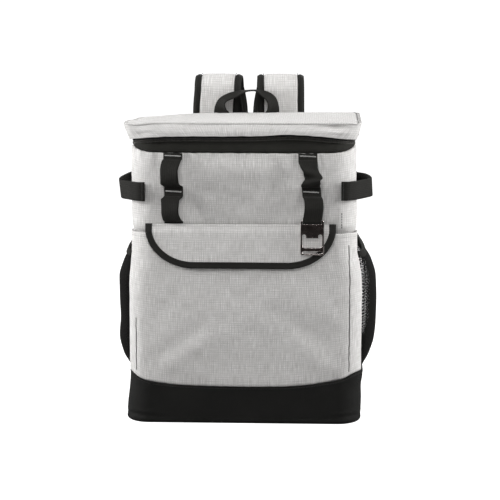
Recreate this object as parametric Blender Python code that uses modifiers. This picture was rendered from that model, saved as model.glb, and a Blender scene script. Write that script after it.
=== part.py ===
"""Cooler backpack: a padded tub in a black boot, with a zipped lid, a flap pocket, net side pockets and straps.

Metres, +Z up. The origin is the middle of the boot's underside, on the floor. The bag's front faces -Y.
"""

import math
from collections import namedtuple

import bmesh
import bpy
from mathutils import Vector

# Clearance between two pieces that touch
GAP = 0.0003

# Boot: the black base
BASE_WIDTH = 0.318
BASE_DEPTH = 0.204
BASE_CORNER_RADIUS = 0.032
BOOT_WALL = 0.002
BOOT_FOOT_RADIUS = 0.012
BOOT_FRONT_HEIGHT = 0.051
BOOT_CORNER_RISE = 0.008
BOOT_SIDE_RISE = 0.005
BOOT_TAPER_HEIGHT = 0.017

# Tub: the padded main compartment
BODY_WALL = 0.006
BODY_SIDE_INSET = 0.0055
BODY_RIM_TAPER = 0.0035
BODY_BACK_INSET = 0.003
BODY_FRONT_INSET = 0.006
BODY_RIM_SETBACK = 0.004
BODY_CORNER_RADIUS = 0.030
BODY_UPPER_HEIGHT = 0.093
RIM_CORNER_RISE = 0.005
FOLD_DEPTH = 0.003
FOLD_AT_STRAPS = 0.0004

# Front pocket
POCKET_PANEL_THICKNESS = 0.002
POCKET_SPACE = 0.012
POCKET_HEIGHT = 0.207
POCKET_FULLNESS = 0.003
POCKET_CORNER_RADIUS = 0.022
POCKET_GUSSET_LENGTH = 0.040

# Flap over the pocket
FLAP_WIDTH = 0.252
FLAP_HEIGHT = 0.0585
FLAP_RISE = 0.012
FLAP_CORNER_REACH = 0.064
FLAP_SIDE_STRAIGHT = 0.004
FLAP_THICKNESS = 0.002
FLAP_SLACK = 0.0013
BINDING_WIDTH = 0.0095
BINDING_THICKNESS = 0.003

# Lid and zip
LID_HEIGHT = 0.0165
LID_FLARE = 0.0035
LID_SKIRT_CLEARANCE = 0.0006
LID_BACK_OVERHANG = 0.0015
LID_WALL = 0.003
LID_CORNER_RADIUS = 0.022
LID_EDGE_RADIUS = 0.005
LID_CROWN = 0.002
LID_CORNER_DROP = 0.0055
LID_HUMP = 0.0025
ZIP_BAND_HEIGHT = 0.0225
ZIP_TAPE_THICKNESS = 0.0015
ZIP_TAPE_SETBACK = 0.0023
ZIP_TAPE_TUCK = 0.007
ZIP_COIL_HEIGHT = 0.007
ZIP_COIL_THICKNESS = 0.002
SLIDER_LENGTH = 0.013
SLIDER_HEIGHT = 0.009
SLIDER_THICKNESS = 0.003

# Webbing straps on the front
WEBBING_WIDTH = 0.025
WEBBING_THICKNESS = 0.0015
DAISY_SPACING = 0.180
DAISY_TOP_INSET = 0.001
DAISY_TACK_DROP = 0.050
DAISY_TACK_LENGTH = 0.006
DAISY_LOOP_REACH = 0.014
DAISY_DRIFT = 0.004

# Bottle opener
OPENER_WIDTH = 0.031
OPENER_HEIGHT = 0.0463
OPENER_THICKNESS = 0.0025
OPENER_CORNER_RADIUS = 0.003
OPENER_RAIL = 0.0026
OPENER_BAR = 0.0026
OPENER_RISE = 0.0056
OPENER_CLEARANCE = 0.0016
OPENER_SLOT_HEIGHT = 0.0036
OPENER_PLATE_HEIGHT = 0.0144
OPENER_TOOTH_WIDTH = 0.0165
OPENER_NOTCH_HEIGHT = 0.0042
OPENER_MOUTH_HEIGHT = 0.013
OPENER_LOWER_BAR = 0.0053
OPENER_LOWER_SLOT_HEIGHT = 0.0031
OPENER_LOWER_SLOT_ROUND = 0.0014
BIGHT_CLEARANCE = 0.0022

# Webbing loops on the sides
SIDE_LOOP_DROP = 0.053
SIDE_LOOP_INSET = 0.0205
SIDE_LOOP_REACH = 0.019
SIDE_LOOP_LENGTH = 0.128
SIDE_LOOP_TILT = 0.005

# Net pockets
NET_THICKNESS = 0.0012
NET_TOP_DROP = 0.019
NET_BULGE = 0.022
NET_BACK_INSET = 0.033
NET_BINDING_HEIGHT = 0.010
NET_BINDING_THICKNESS = 0.0022

# Grab handle
HANDLE_SPACING = 0.074
HANDLE_RISE = 0.0295
HANDLE_SEWN_LENGTH = 0.030
HANDLE_SEAM_DROP = 0.006

# Shoulder straps
STRAP_WIDTH = 0.066
STRAP_THICKNESS = 0.010
STRAP_SEWN_THICKNESS = 0.004
STRAP_LINING_THICKNESS = 0.0012
STRAP_BINDING_WIDTH = 0.0105
STRAP_SPACING = 0.090
STRAP_RISE = 0.051
STRAP_ARCH_DEPTH = 0.034
STRAP_SEWN_LENGTH = 0.042
STRAP_END_HEIGHT = 0.145
STRAP_END_SPREAD = 0.026
BUCKLE_WIDTH = 0.034
BUCKLE_HEIGHT = 0.022
BUCKLE_THICKNESS = 0.004
BUCKLE_BAR = 0.004
BUCKLE_SLOT_HEIGHT = 0.0075
WEBBING_TAIL = 0.030
WEBBING_ANCHOR_HEIGHT = 0.036
WEBBING_ANCHOR_INSET = 0.031

# Places that follow from the sizes above
BODY_LOWER_WIDTH = BASE_WIDTH - 2 * BODY_SIDE_INSET
BODY_RIM_WIDTH = BODY_LOWER_WIDTH - 2 * BODY_RIM_TAPER
BODY_BACK = BASE_DEPTH / 2 - BODY_BACK_INSET
BODY_UPPER_FRONT = BASE_DEPTH / 2 - BODY_FRONT_INSET
POCKET_TOP = BOOT_FRONT_HEIGHT + POCKET_HEIGHT
FLAP_TOP = POCKET_TOP + FLAP_RISE
RIM_FRONT_HEIGHT = FLAP_TOP + BODY_UPPER_HEIGHT
LID_EDGE_HEIGHT = RIM_FRONT_HEIGHT + ZIP_BAND_HEIGHT
LID_TOP = LID_EDGE_HEIGHT + LID_HEIGHT
DAISY_TOP = RIM_FRONT_HEIGHT - DAISY_TOP_INSET
DAISY_TACK = RIM_FRONT_HEIGHT - DAISY_TACK_DROP
SIDE_LOOP_HEIGHT = RIM_FRONT_HEIGHT - SIDE_LOOP_DROP
NET_TOP = POCKET_TOP - NET_TOP_DROP
NET_FRONT = -BASE_DEPTH / 2 + POCKET_GUSSET_LENGTH + 3 * GAP
NET_BACK = BODY_BACK - NET_BACK_INSET
HANDLE_TOP = LID_TOP + HANDLE_RISE
STRAP_TOP = LID_TOP + STRAP_RISE
STRAP_SEWN_HEIGHT = LID_EDGE_HEIGHT - LID_CORNER_DROP - STRAP_SEWN_LENGTH
WEBBING_ANCHOR_SPREAD = BASE_WIDTH / 2 - WEBBING_ANCHOR_INSET

# How finely the curved pieces are cut
FRONT_STEPS = 14
SIDE_STEPS = 5
BACK_STEPS = 6
CORNER_STEPS = 4
ARCH_STEPS = 8

Plan = namedtuple("Plan", "half_width front back corner")
BodySection = namedtuple("BodySection", "height toward_rim forward setback")
PocketSection = namedtuple("PocketSection", "height fullness")
NetSection = namedtuple("NetSection", "height bulge")
Fold = namedtuple("Fold", "from_x from_z to_x to_z reach height")

# Height: 0 to 1 from the boot to the pocket's hem, 1 to 2 from the flap's top to the rim. Then how far the width
# has come to the rim's, how far the front has come forward of the wall behind the pocket, and its share of the
# rim's setback
BODY_SECTIONS = (
    BodySection(0.00, 0.00, 0.0, 0.0),
    BodySection(0.45, 0.15, 0.0, 0.0),
    BodySection(0.96, 0.48, 0.0, 0.0),
    BodySection(1.00, 0.54, 1.0, 0.0),
    BodySection(1.17, 0.59, 1.0, 0.0),
    BodySection(1.34, 0.64, 1.0, -0.06),
    BodySection(1.56, 0.74, 1.0, 0.0),
    BodySection(1.80, 0.88, 1.0, 0.4),
    BodySection(2.00, 1.00, 1.0, 1.0),
)

# Height between boot and hem, and how far the panel stands forward of the boot, as a share of its fullness
POCKET_SECTIONS = (
    PocketSection(0.00, 0.0),
    PocketSection(0.05, 0.3),
    PocketSection(0.14, 0.6),
    PocketSection(0.24, 0.8),
    PocketSection(0.34, 0.9),
    PocketSection(0.44, 1.0),
    PocketSection(0.54, 1.0),
    PocketSection(0.64, 0.9),
    PocketSection(0.76, 0.7),
    PocketSection(0.88, 0.2),
    PocketSection(1.00, -0.6),
)

# Height up the net, and how far it stands out, as a share of its bulge
NET_SECTIONS = (
    NetSection(0.00, 0.00),
    NetSection(0.07, 0.50),
    NetSection(0.22, 0.95),
    NetSection(0.42, 0.94),
    NetSection(0.62, 1.00),
    NetSection(0.80, 0.84),
    NetSection(0.92, 0.56),
    NetSection(1.00, 0.34),
)

# Ends as shares of the panel's half width and height, reach as a share of the half width, height of the fold depth
POCKET_FOLDS = (
    Fold(0.30, 0.50, 0.78, 0.26, 0.075, -1.0),
    Fold(0.36, 0.66, 0.84, 0.38, 0.080, 0.7),
    Fold(-0.34, 0.36, -0.70, 0.18, 0.080, -0.9),
    Fold(-0.30, 0.26, -0.66, 0.10, 0.080, 0.8),
    Fold(0.46, 0.28, 0.76, 0.12, 0.080, 0.6),
)
UPPER_FOLDS = (
    Fold(0.33, 0.90, 0.45, 0.62, 0.060, -1.0),
    Fold(0.08, 0.92, 0.16, 0.66, 0.080, 0.6),
    Fold(-0.14, 0.92, -0.02, 0.74, 0.080, 0.5),
    Fold(-0.62, 0.50, -0.44, 0.10, 0.080, -0.5),
)


def start_scene():
    """An empty scene with a collection for the bag's pieces."""
    for thing in list(bpy.data.objects):
        bpy.data.objects.remove(thing)
    pieces = bpy.data.collections.new("cooler_backpack")
    bpy.context.scene.collection.children.link(pieces)
    return pieces


def make_material(name, colour, roughness, metallic=0.0):
    finish = bpy.data.materials.new(name)
    finish.use_nodes = True
    shader = finish.node_tree.nodes["Principled BSDF"]
    shader.inputs["Base Color"].default_value = (*colour, 1.0)
    shader.inputs["Roughness"].default_value = roughness
    shader.inputs["Metallic"].default_value = metallic
    return finish


def add_mesh(name, points, faces, finish):
    """A mesh object of these points and faces, smooth apart from its sharp edges."""
    mesh = bpy.data.meshes.new(name)
    mesh.from_pydata([tuple(point) for point in points], [], faces)
    mesh.materials.append(finish)
    mesh.shade_smooth()
    mesh.set_sharp_from_angle(angle=math.radians(40))
    piece = bpy.data.objects.new(name, mesh)
    PIECES.objects.link(piece)
    return piece


def add_wall(piece, thickness):
    """Cloth of this thickness, laid inside the surface."""
    wall = piece.modifiers.new("wall", "SOLIDIFY")
    wall.thickness = thickness
    wall.offset = -1.0
    wall.use_even_offset = True
    return wall


def loft(rows, closed):
    """The points of the rows in one list, and a face for each four neighbours."""
    points = [point for row in rows for point in row]
    count = len(rows[0])
    steps = count if closed else count - 1
    faces = []
    for level in range(len(rows) - 1):
        for step in range(steps):
            here = level * count + step
            beside = level * count + (step + 1) % count
            faces.append((here, beside, beside + count, here + count))
    return points, faces


def smooth_table(rows, at, column):
    """The value of a table's column at a height, in even steps between its rows."""
    for below, above in zip(rows, rows[1:]):
        if at <= above.height:
            share = (at - below.height) / (above.height - below.height)
            return getattr(below, column) + share * (getattr(above, column) - getattr(below, column))
    return getattr(rows[-1], column)


def ease(share):
    """Rises from 0 to 1 with level ends."""
    share = min(1.0, max(0.0, share))
    return share * share * (3.0 - 2.0 * share)


def outline(plan, front_steps=FRONT_STEPS, side_steps=SIDE_STEPS, back_steps=BACK_STEPS):
    """Points round a rounded rectangle, anticlockwise from above, from the front's left end."""
    inner_x = plan.half_width - plan.corner
    inner_front = plan.front + plan.corner
    inner_back = plan.back - plan.corner
    corners = (
        (inner_x, inner_front, -90),
        (inner_x, inner_back, 0),
        (-inner_x, inner_back, 90),
        (-inner_x, inner_front, 180),
    )
    straights = (front_steps, side_steps, back_steps, side_steps)
    starts = (
        (-inner_x, plan.front),
        (plan.half_width, inner_front),
        (inner_x, plan.back),
        (-plan.half_width, inner_back),
    )
    ends = (
        (inner_x, plan.front),
        (plan.half_width, inner_back),
        (-inner_x, plan.back),
        (-plan.half_width, inner_front),
    )
    points = []
    for start, end, steps, (centre_x, centre_y, from_angle) in zip(starts, ends, straights, corners):
        for step in range(steps):
            share = step / steps
            points.append((
                start[0] + share * (end[0] - start[0]),
                start[1] + share * (end[1] - start[1]),
            ))
        for step in range(CORNER_STEPS):
            angle = math.radians(from_angle + 90.0 * step / CORNER_STEPS)
            points.append((
                centre_x + plan.corner * math.cos(angle),
                centre_y + plan.corner * math.sin(angle),
            ))
    return points


def fold_offset(folds, x, z, half_width, bottom, top):
    """How far the folds lift the panel outward at a place on it."""
    lift = 0.0
    height = top - bottom
    for fold in folds:
        start = Vector((fold.from_x * half_width, bottom + fold.from_z * height))
        end = Vector((fold.to_x * half_width, bottom + fold.to_z * height))
        here = Vector((x, z))
        along = end - start
        share = (here - start).dot(along) / along.length_squared
        nearest = start + along * min(1.0, max(0.0, share))
        distance = (here - nearest).length / (fold.reach * half_width)
        lift += fold.height * FOLD_DEPTH * math.exp(-distance * distance)
    return lift


def boot_seam(x, y):
    """Height of the boot's top edge: low at the middle of the front, higher at the corners and sides."""
    across = min(1.0, abs(x) / (BASE_WIDTH / 2))
    back = ease((y + BASE_DEPTH / 2) / (BASE_DEPTH / 3))
    return BOOT_FRONT_HEIGHT + BOOT_CORNER_RISE * across ** 4 * (1 - back) + (
        BOOT_CORNER_RISE + BOOT_SIDE_RISE
    ) * back


def rim_height(x, y):
    """Height of the tub's rim: up at the front corners, and up to the lid at the back, where no zip runs."""
    across = min(1.0, abs(x) / (BODY_RIM_WIDTH / 2))
    side = RIM_CORNER_RISE * across ** 6
    behind = ease((y - BODY_BACK + BODY_CORNER_RADIUS) / (0.7 * BODY_CORNER_RADIUS))
    low = RIM_FRONT_HEIGHT + side
    return low + behind * (lid_edge(x, y) - 2 * GAP - low)


def lid_edge(x, y):
    """Height of the skirt's lower edge: it droops at the front corners and humps over the right strap."""
    half_width = BODY_RIM_WIDTH / 2
    across = min(1.0, abs(x) / half_width)
    droop = LID_CORNER_DROP * max(across ** 5, ease((y + BODY_UPPER_FRONT) / (BODY_BACK / 2)))
    front = 1 - ease((y + BODY_UPPER_FRONT) / (BODY_BACK / 4))
    hump_place = 0.43 * half_width
    hump_reach = 0.25 * half_width
    hump = LID_HUMP * math.exp(-(((x - hump_place) / hump_reach) ** 2)) * front
    return LID_EDGE_HEIGHT - droop + hump


def body_level(height):
    """Height above the floor of a section of the tub."""
    if height < 1:
        return BOOT_FRONT_HEIGHT + height * POCKET_HEIGHT
    return FLAP_TOP + (height - 1) * BODY_UPPER_HEIGHT


def body_value(z, column):
    """A column of the tub's sections at a height above the floor."""
    levels = [section._replace(height=body_level(section.height)) for section in BODY_SECTIONS]
    return smooth_table(levels, max(BOOT_FRONT_HEIGHT, z), column)


def body_half_width(z):
    """Half the tub's width above the boot."""
    return BODY_LOWER_WIDTH / 2 - body_value(z, "toward_rim") * BODY_RIM_TAPER


def body_front(z):
    """Y of the tub's front above the boot."""
    behind_pocket = BASE_DEPTH / 2 - POCKET_PANEL_THICKNESS - POCKET_SPACE
    reach = behind_pocket + body_value(z, "forward") * (BODY_UPPER_FRONT - behind_pocket)
    return body_value(z, "setback") * BODY_RIM_SETBACK - reach


def body_plan(z):
    return Plan(body_half_width(z), body_front(z), BODY_BACK, BODY_CORNER_RADIUS)


def foot_rows(plan, bottom, radius, steps=3):
    """Rows round the rounded lower edge, from the flat underside up to the wall."""
    rows = []
    for step in range(steps + 1):
        angle = math.radians(90.0 * step / steps)
        inset = radius * (1 - math.sin(angle))
        height = bottom + radius * (1 - math.cos(angle))
        rows.append((height, shrink(plan, inset)))
    return rows


def shrink(plan, inset):
    """The plan with this much taken off all round."""
    return Plan(
        plan.half_width - inset,
        plan.front + inset,
        plan.back - inset,
        max(plan.corner - inset, 0.0005),
    )


def base_plan():
    return Plan(BASE_WIDTH / 2, -BASE_DEPTH / 2, BASE_DEPTH / 2, BASE_CORNER_RADIUS)


def boot_top_plan():
    """The boot at its top edge, snug round the tub at the sides and back, and under the pocket at the front."""
    half_width = BODY_LOWER_WIDTH / 2 + GAP + BOOT_WALL
    return Plan(half_width, -BASE_DEPTH / 2, BODY_BACK + GAP + BOOT_WALL, BASE_CORNER_RADIUS)


def make_boot():
    rows = []
    for height, plan in foot_rows(base_plan(), 0.0, BOOT_FOOT_RADIUS):
        rows.append([(x, y, height) for x, y in outline(plan)])
    taper = BOOT_FRONT_HEIGHT - BOOT_TAPER_HEIGHT
    rows.append([(x, y, taper) for x, y in outline(base_plan())])
    rows.append([(x, y, boot_seam(x, y)) for x, y in outline(boot_top_plan())])
    points, faces = loft(rows, closed=True)
    faces.append(tuple(reversed(range(len(rows[0])))))
    boot = add_mesh("base_boot", points, faces, BOOT_CLOTH)
    add_wall(boot, BOOT_WALL)


def make_body():
    inset = BOOT_WALL + GAP
    inner = shrink(base_plan(), inset)
    rows = []
    for height, plan in foot_rows(inner, inset, BOOT_FOOT_RADIUS - inset):
        rows.append([(x, y, height) for x, y in outline(plan)])
    taper = BOOT_FRONT_HEIGHT - BOOT_TAPER_HEIGHT
    rows.append([(x, y, taper) for x, y in outline(inner)])
    for section in BODY_SECTIONS:
        flat = body_level(section.height)
        if section.height == 0:
            flat -= BOOT_WALL
        front = body_front(flat)
        front_weight = body_front_weight(flat)
        row = []
        for x, y in outline(body_plan(flat)):
            rise = (rim_height(x, y) - RIM_FRONT_HEIGHT) * max(0.0, section.height - 1)
            lift = 0.0
            if y < front + GAP:
                lift = fold_offset(UPPER_FOLDS, x, flat, BODY_RIM_WIDTH / 2, FLAP_TOP, RIM_FRONT_HEIGHT)
            row.append((x, y - lift * front_weight, flat + rise))
        rows.append(row)
    points, faces = loft(rows, closed=True)
    faces.append(tuple(reversed(range(len(rows[0])))))
    body = add_mesh("cooler_body", points, faces, SHELL_CLOTH)
    add_wall(body, BODY_WALL)


def body_front_weight(z):
    """Folds show only above the flap and fade at the rim."""
    above_flap = ease((z - FLAP_TOP) / (0.1 * FLAP_TOP))
    below_rim = ease((RIM_FRONT_HEIGHT - z) / (0.03 * RIM_FRONT_HEIGHT))
    return above_flap * below_rim


def pocket_front(share):
    """Y of the pocket panel's outer face at a share of its height."""
    fullness = smooth_table(POCKET_SECTIONS, share, "fullness")
    return -(BASE_DEPTH / 2 + fullness * POCKET_FULLNESS)


def pocket_row(section):
    """Points from the left gusset's end round the front to the right gusset's end."""
    flat = BOOT_FRONT_HEIGHT + section.height * POCKET_HEIGHT
    half_width = body_half_width(flat) + GAP + POCKET_PANEL_THICKNESS
    front = pocket_front(section.height)
    plan = Plan(half_width, front, BODY_BACK, POCKET_CORNER_RADIUS)
    gusset_end = -BASE_DEPTH / 2 + POCKET_GUSSET_LENGTH
    ring = outline(plan, side_steps=1)
    kept = ring[: FRONT_STEPS + CORNER_STEPS + 1]
    left_corner = [(-x, y) for x, y in reversed(ring[FRONT_STEPS + 1: FRONT_STEPS + CORNER_STEPS + 1])]
    path = [(-half_width, gusset_end), *left_corner, *kept, (half_width, gusset_end)]
    row = []
    for x, y in path:
        seam = boot_seam(x, y) + GAP
        z = seam + section.height * (POCKET_TOP - seam)
        lift = 0.0
        if abs(x) < half_width - POCKET_CORNER_RADIUS:
            fade = ease((1 - section.height) / 0.1) * ease(section.height / 0.06)
            lift = fade * fold_offset(POCKET_FOLDS, x, z, half_width, BOOT_FRONT_HEIGHT, POCKET_TOP)
        row.append((x, y - lift, z))
    return row


def make_pocket():
    rows = [pocket_row(section) for section in POCKET_SECTIONS]
    points, faces = loft(rows, closed=False)
    pocket = add_mesh("front_pocket", points, faces, SHELL_CLOTH)
    add_wall(pocket, POCKET_PANEL_THICKNESS)


def flap_back(z):
    """Y of the flap's back face: it leaves the tub at the top and lies over the pocket's hem below."""
    pocket_share = (min(z, POCKET_TOP) - BOOT_FRONT_HEIGHT) / POCKET_HEIGHT
    over_pocket = pocket_front(pocket_share) - FLAP_SLACK
    over_hem = ease((FLAP_TOP - z) / (FLAP_RISE - GAP))
    at_top = body_front(FLAP_TOP) - 2 * GAP
    hem = pocket_front(1.0) - FLAP_SLACK
    if z > POCKET_TOP:
        return at_top + over_hem * (hem - at_top)
    return min(over_pocket, hem)


def flap_outline(inset, count):
    """Points of the flap's edge, left to right: straight sides into elliptical corners and a level bottom."""
    half_width = FLAP_WIDTH / 2 - inset
    reach = FLAP_CORNER_REACH - inset
    bottom = FLAP_TOP - FLAP_HEIGHT + inset
    corner_top = FLAP_TOP - FLAP_SIDE_STRAIGHT
    drop = corner_top - bottom
    left = []
    for step in range(count + 1):
        angle = math.radians(90.0 * step / count)
        x = -(half_width - reach) - reach * math.cos(angle)
        left.append((x, corner_top - drop * math.sin(angle)))
    right = [(-x, z) for x, z in reversed(left)]
    middle = []
    for step in range(1, count):
        share = step / count
        middle.append((left[-1][0] * (1 - 2 * share), bottom))
    return left + middle + right


def make_flap():
    edge = flap_outline(BINDING_WIDTH + GAP, 7)
    rows = []
    levels = 5
    for level in range(levels + 1):
        share = 1 - level / levels
        row = []
        for x, z in edge:
            height = FLAP_TOP + share * (z - FLAP_TOP)
            row.append((x, flap_back(height) - FLAP_THICKNESS, height))
        rows.append(row)
    points, faces = loft(rows, closed=False)
    flap = add_mesh("pocket_flap", points, faces, SHELL_CLOTH)
    add_wall(flap, FLAP_THICKNESS)

    outer = flap_outline(0.0, 7)
    inner = flap_outline(BINDING_WIDTH, 7)
    spare = (BINDING_THICKNESS - FLAP_THICKNESS) / 2
    rows = []
    for ring in (outer, inner):
        ends = [(ring[0][0], FLAP_TOP), *ring, (ring[-1][0], FLAP_TOP)]
        rows.append([(x, flap_back(z) - FLAP_THICKNESS - spare, z) for x, z in ends])
    points, faces = loft(rows, closed=False)
    binding = add_mesh("flap_binding", points, faces, BINDING)
    add_wall(binding, BINDING_THICKNESS - 2 * GAP)


def lid_plan(share):
    """The lid's outline from its skirt's lower edge, 0, to its top edge, 1."""
    over_tape = LID_WALL + LID_SKIRT_CLEARANCE - ZIP_TAPE_SETBACK + share * LID_FLARE
    half_width = BODY_RIM_WIDTH / 2 + over_tape
    front = body_front(RIM_FRONT_HEIGHT) - over_tape
    return Plan(half_width, front, BODY_BACK + LID_BACK_OVERHANG, LID_CORNER_RADIUS)


def make_lid():
    rows = []
    shoulder = LID_TOP - LID_CROWN - LID_EDGE_RADIUS
    for share in (0.0, 0.5):
        row = []
        for x, y in outline(lid_plan(share)):
            edge = lid_edge(x, y)
            row.append((x, y, edge + share * (shoulder - edge)))
        rows.append(row)
    for step in range(3):
        angle = math.radians(45.0 * step)
        inset = LID_EDGE_RADIUS * (1 - math.cos(angle))
        height = shoulder + LID_EDGE_RADIUS * math.sin(angle)
        rows.append([(x, y, height) for x, y in outline(shrink(lid_plan(1.0), inset))])
    crown_inset = BASE_DEPTH / 6
    plan = shrink(lid_plan(1.0), crown_inset)
    rows.append([(x, y, LID_TOP) for x, y in outline(plan)])
    points, faces = loft(rows, closed=True)
    last = len(points) - len(rows[0])
    faces.append(tuple(range(last, len(points))))
    lid = add_mesh("lid", points, faces, SHELL_CLOTH)
    add_wall(lid, LID_WALL)


def zip_path(setback):
    """Plan points of the zip, and of the rim below them, from its left end round the front to its right end."""
    plan = body_plan(RIM_FRONT_HEIGHT)
    last = FRONT_STEPS + CORNER_STEPS + SIDE_STEPS
    pairs = []
    for ring in (outline(shrink(plan, setback)), outline(plan)):
        right = ring[: last + 1]
        left = [(-x, y) for x, y in reversed(ring[FRONT_STEPS + 1: last + 1])]
        pairs.append([*left, *right])
    return pairs


def make_zip():
    path, rim = zip_path(ZIP_TAPE_SETBACK)
    low = [(x, y, rim_height(*below) + GAP) for (x, y), below in zip(path, rim)]
    high = [(x, y, lid_edge(*below) + ZIP_TAPE_TUCK) for (x, y), below in zip(path, rim)]
    points, faces = loft([low, high], closed=False)
    tape = add_mesh("zip_tape", points, faces, TAPE)
    add_wall(tape, ZIP_TAPE_THICKNESS)

    path, rim = zip_path(ZIP_TAPE_SETBACK - GAP - ZIP_COIL_THICKNESS)
    high = [(x, y, lid_edge(*below) - 2 * GAP) for (x, y), below in zip(path, rim)]
    low = [(x, y, z - ZIP_COIL_HEIGHT) for x, y, z in high]
    points, faces = loft([low, high], closed=False)
    coil = add_mesh("zip_coil", points, faces, COIL)
    add_wall(coil, ZIP_COIL_THICKNESS)


def make_slider():
    """The zip's slider, out of sight at the right end of the zip."""
    path, rim = zip_path(ZIP_TAPE_SETBACK - GAP - ZIP_COIL_THICKNESS)
    path_end = path[-1]
    high = lid_edge(*rim[-1]) - 2 * GAP
    middle = (
        path_end[0] + GAP + SLIDER_THICKNESS / 2,
        path_end[1] - SLIDER_LENGTH,
        high - ZIP_COIL_HEIGHT / 2 - (SLIDER_HEIGHT - ZIP_COIL_HEIGHT) / 2,
    )
    bpy.ops.mesh.primitive_cube_add(size=1.0, location=middle)
    slider = bpy.context.object
    slider.name = "zip_slider"
    slider.data.name = "zip_slider"
    slider.scale = (SLIDER_THICKNESS, SLIDER_LENGTH, SLIDER_HEIGHT)
    bpy.ops.object.transform_apply(location=False, rotation=False, scale=True)
    move_to_pieces(slider)
    slider.data.materials.append(OPENER_METAL)
    rounding = slider.modifiers.new("rounding", "BEVEL")
    rounding.width = SLIDER_THICKNESS / 4
    rounding.segments = 1


def move_to_pieces(piece):
    for old in list(piece.users_collection):
        old.objects.unlink(piece)
    PIECES.objects.link(piece)


def smooth_route(stops, count):
    """Evenly spaced points on a smooth curve through the stops."""
    stops = [Vector(stop) for stop in stops]
    padded = [2 * stops[0] - stops[1], *stops, 2 * stops[-1] - stops[-2]]
    fine = []
    parts = 24
    for index in range(1, len(padded) - 2):
        before, start, end, after = padded[index - 1: index + 3]
        for step in range(parts):
            t = step / parts
            fine.append(0.5 * (
                2 * start
                + (end - before) * t
                + (2 * before - 5 * start + 4 * end - after) * t * t
                + (3 * start - before - 3 * end + after) * t * t * t
            ))
    fine.append(stops[-1])
    lengths = [0.0]
    for first, second in zip(fine, fine[1:]):
        lengths.append(lengths[-1] + (second - first).length)
    route = []
    index = 0
    for step in range(count + 1):
        target = lengths[-1] * step / count
        while index < len(lengths) - 2 and lengths[index + 1] < target:
            index += 1
        span = lengths[index + 1] - lengths[index]
        share = (target - lengths[index]) / span
        route.append(fine[index].lerp(fine[index + 1], share))
    return route


def tangents(route):
    found = []
    for index in range(len(route)):
        before = route[max(0, index - 1)]
        after = route[min(len(route) - 1, index + 1)]
        found.append((after - before).normalized())
    return found


def make_webbing(name, route, across, finish, width=WEBBING_WIDTH, thickness=WEBBING_THICKNESS):
    """A strap along a route, with its width along the given directions, centred on the route."""
    left = [point - side * width / 2 for point, side in zip(route, across)]
    right = [point + side * width / 2 for point, side in zip(route, across)]
    points, faces = loft([left, right], closed=False)
    strap = add_mesh(name, points, faces, finish)
    wall = add_wall(strap, thickness)
    wall.offset = 0.0
    return strap


def bight(centre, along, outward, radius, from_angle, to_angle, steps):
    """Points of a turn round a bar. Angle 0 points outward, and 90 along."""
    points = []
    for step in range(steps + 1):
        angle = math.radians(from_angle + (to_angle - from_angle) * step / steps)
        points.append(centre + radius * (outward * math.cos(angle) + along * math.sin(angle)))
    return points


def on_front(z):
    """Y of webbing's middle where it is sewn flat to the tub's front."""
    return body_front(z) - GAP - WEBBING_THICKNESS / 2 - FOLD_AT_STRAPS


def daisy_loop(x, top, bottom, drift, steps):
    """A slack loop of webbing between two sewn places."""
    points = []
    for step in range(steps + 1):
        share = step / steps
        z = top + share * (bottom - top)
        slack = math.sin(math.pi * share) ** 0.6
        y = on_front(z) - DAISY_LOOP_REACH * slack
        points.append(Vector((x + drift * slack, y, z)))
    return points


def make_daisy_straps():
    half_tack = DAISY_TACK_LENGTH / 2
    flap_end = FLAP_TOP + GAP
    across = Vector((1, 0, 0))

    left_x = -DAISY_SPACING / 2
    upper_end = DAISY_TOP - DAISY_TACK_LENGTH
    route = [Vector((left_x, on_front(DAISY_TOP), DAISY_TOP))]
    route += daisy_loop(left_x, upper_end, DAISY_TACK + half_tack, -DAISY_DRIFT, 9)
    lower_end = FLAP_TOP + DAISY_TACK_LENGTH
    route += daisy_loop(left_x, DAISY_TACK - half_tack, lower_end, -DAISY_DRIFT, 9)
    route.append(Vector((left_x, on_front(flap_end), flap_end)))
    make_webbing("daisy_strap_left", route, [across] * len(route), WEBBING)

    right_x = DAISY_SPACING / 2
    route = [Vector((right_x, on_front(DAISY_TOP), DAISY_TOP))]
    route += daisy_loop(right_x, upper_end, DAISY_TACK + half_tack, DAISY_DRIFT, 9)
    axis = opener_axis()
    turn = BIGHT_CLEARANCE + WEBBING_THICKNESS / 2
    start = Vector((right_x, on_front(DAISY_TACK), DAISY_TACK - half_tack))
    down = Vector((0, 0, -1))
    outward = Vector((0, -1, 0))
    bend = bight(axis, down, outward, turn, 0, 180, 8)
    fall = daisy_fall(start, bend[0])
    back = bend[-1]
    sewn = Vector((axis.x, on_front(flap_end), FLAP_TOP + DAISY_TACK_LENGTH))
    route += fall[:-1] + bend
    route += [
        back.lerp(sewn, 0.35) + Vector((0, 0, DAISY_TACK_LENGTH / 2)),
        back.lerp(sewn, 0.75) + Vector((0, 0, DAISY_TACK_LENGTH / 2)),
        sewn,
        Vector((axis.x, on_front(flap_end), flap_end)),
    ]
    make_webbing("daisy_strap_right", route, [across] * len(route), WEBBING)


def daisy_fall(start, end):
    """The loose webbing from the sewn place down to the opener."""
    out = end.y - start.y
    stops = [
        start,
        start + Vector((0.3 * (end.x - start.x), 0.62 * out, -0.12 * (start.z - end.z))),
        start + Vector((end.x - start.x, 0.98 * out, -0.45 * (start.z - end.z))),
        end + Vector((0, 0, 0.25 * (start.z - end.z))),
        end,
    ]
    return smooth_route(stops, 8)


def opener_axis():
    """Middle of the opener's upper bar, which turns in the webbing."""
    z = FLAP_TOP + OPENER_RISE
    flap_face = flap_back(z - OPENER_HEIGHT) - FLAP_THICKNESS - (BINDING_THICKNESS - FLAP_THICKNESS) / 2
    y = flap_face - OPENER_CLEARANCE - OPENER_THICKNESS / 2
    return Vector((DAISY_SPACING / 2 + DAISY_DRIFT / 2, y, z))


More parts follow.
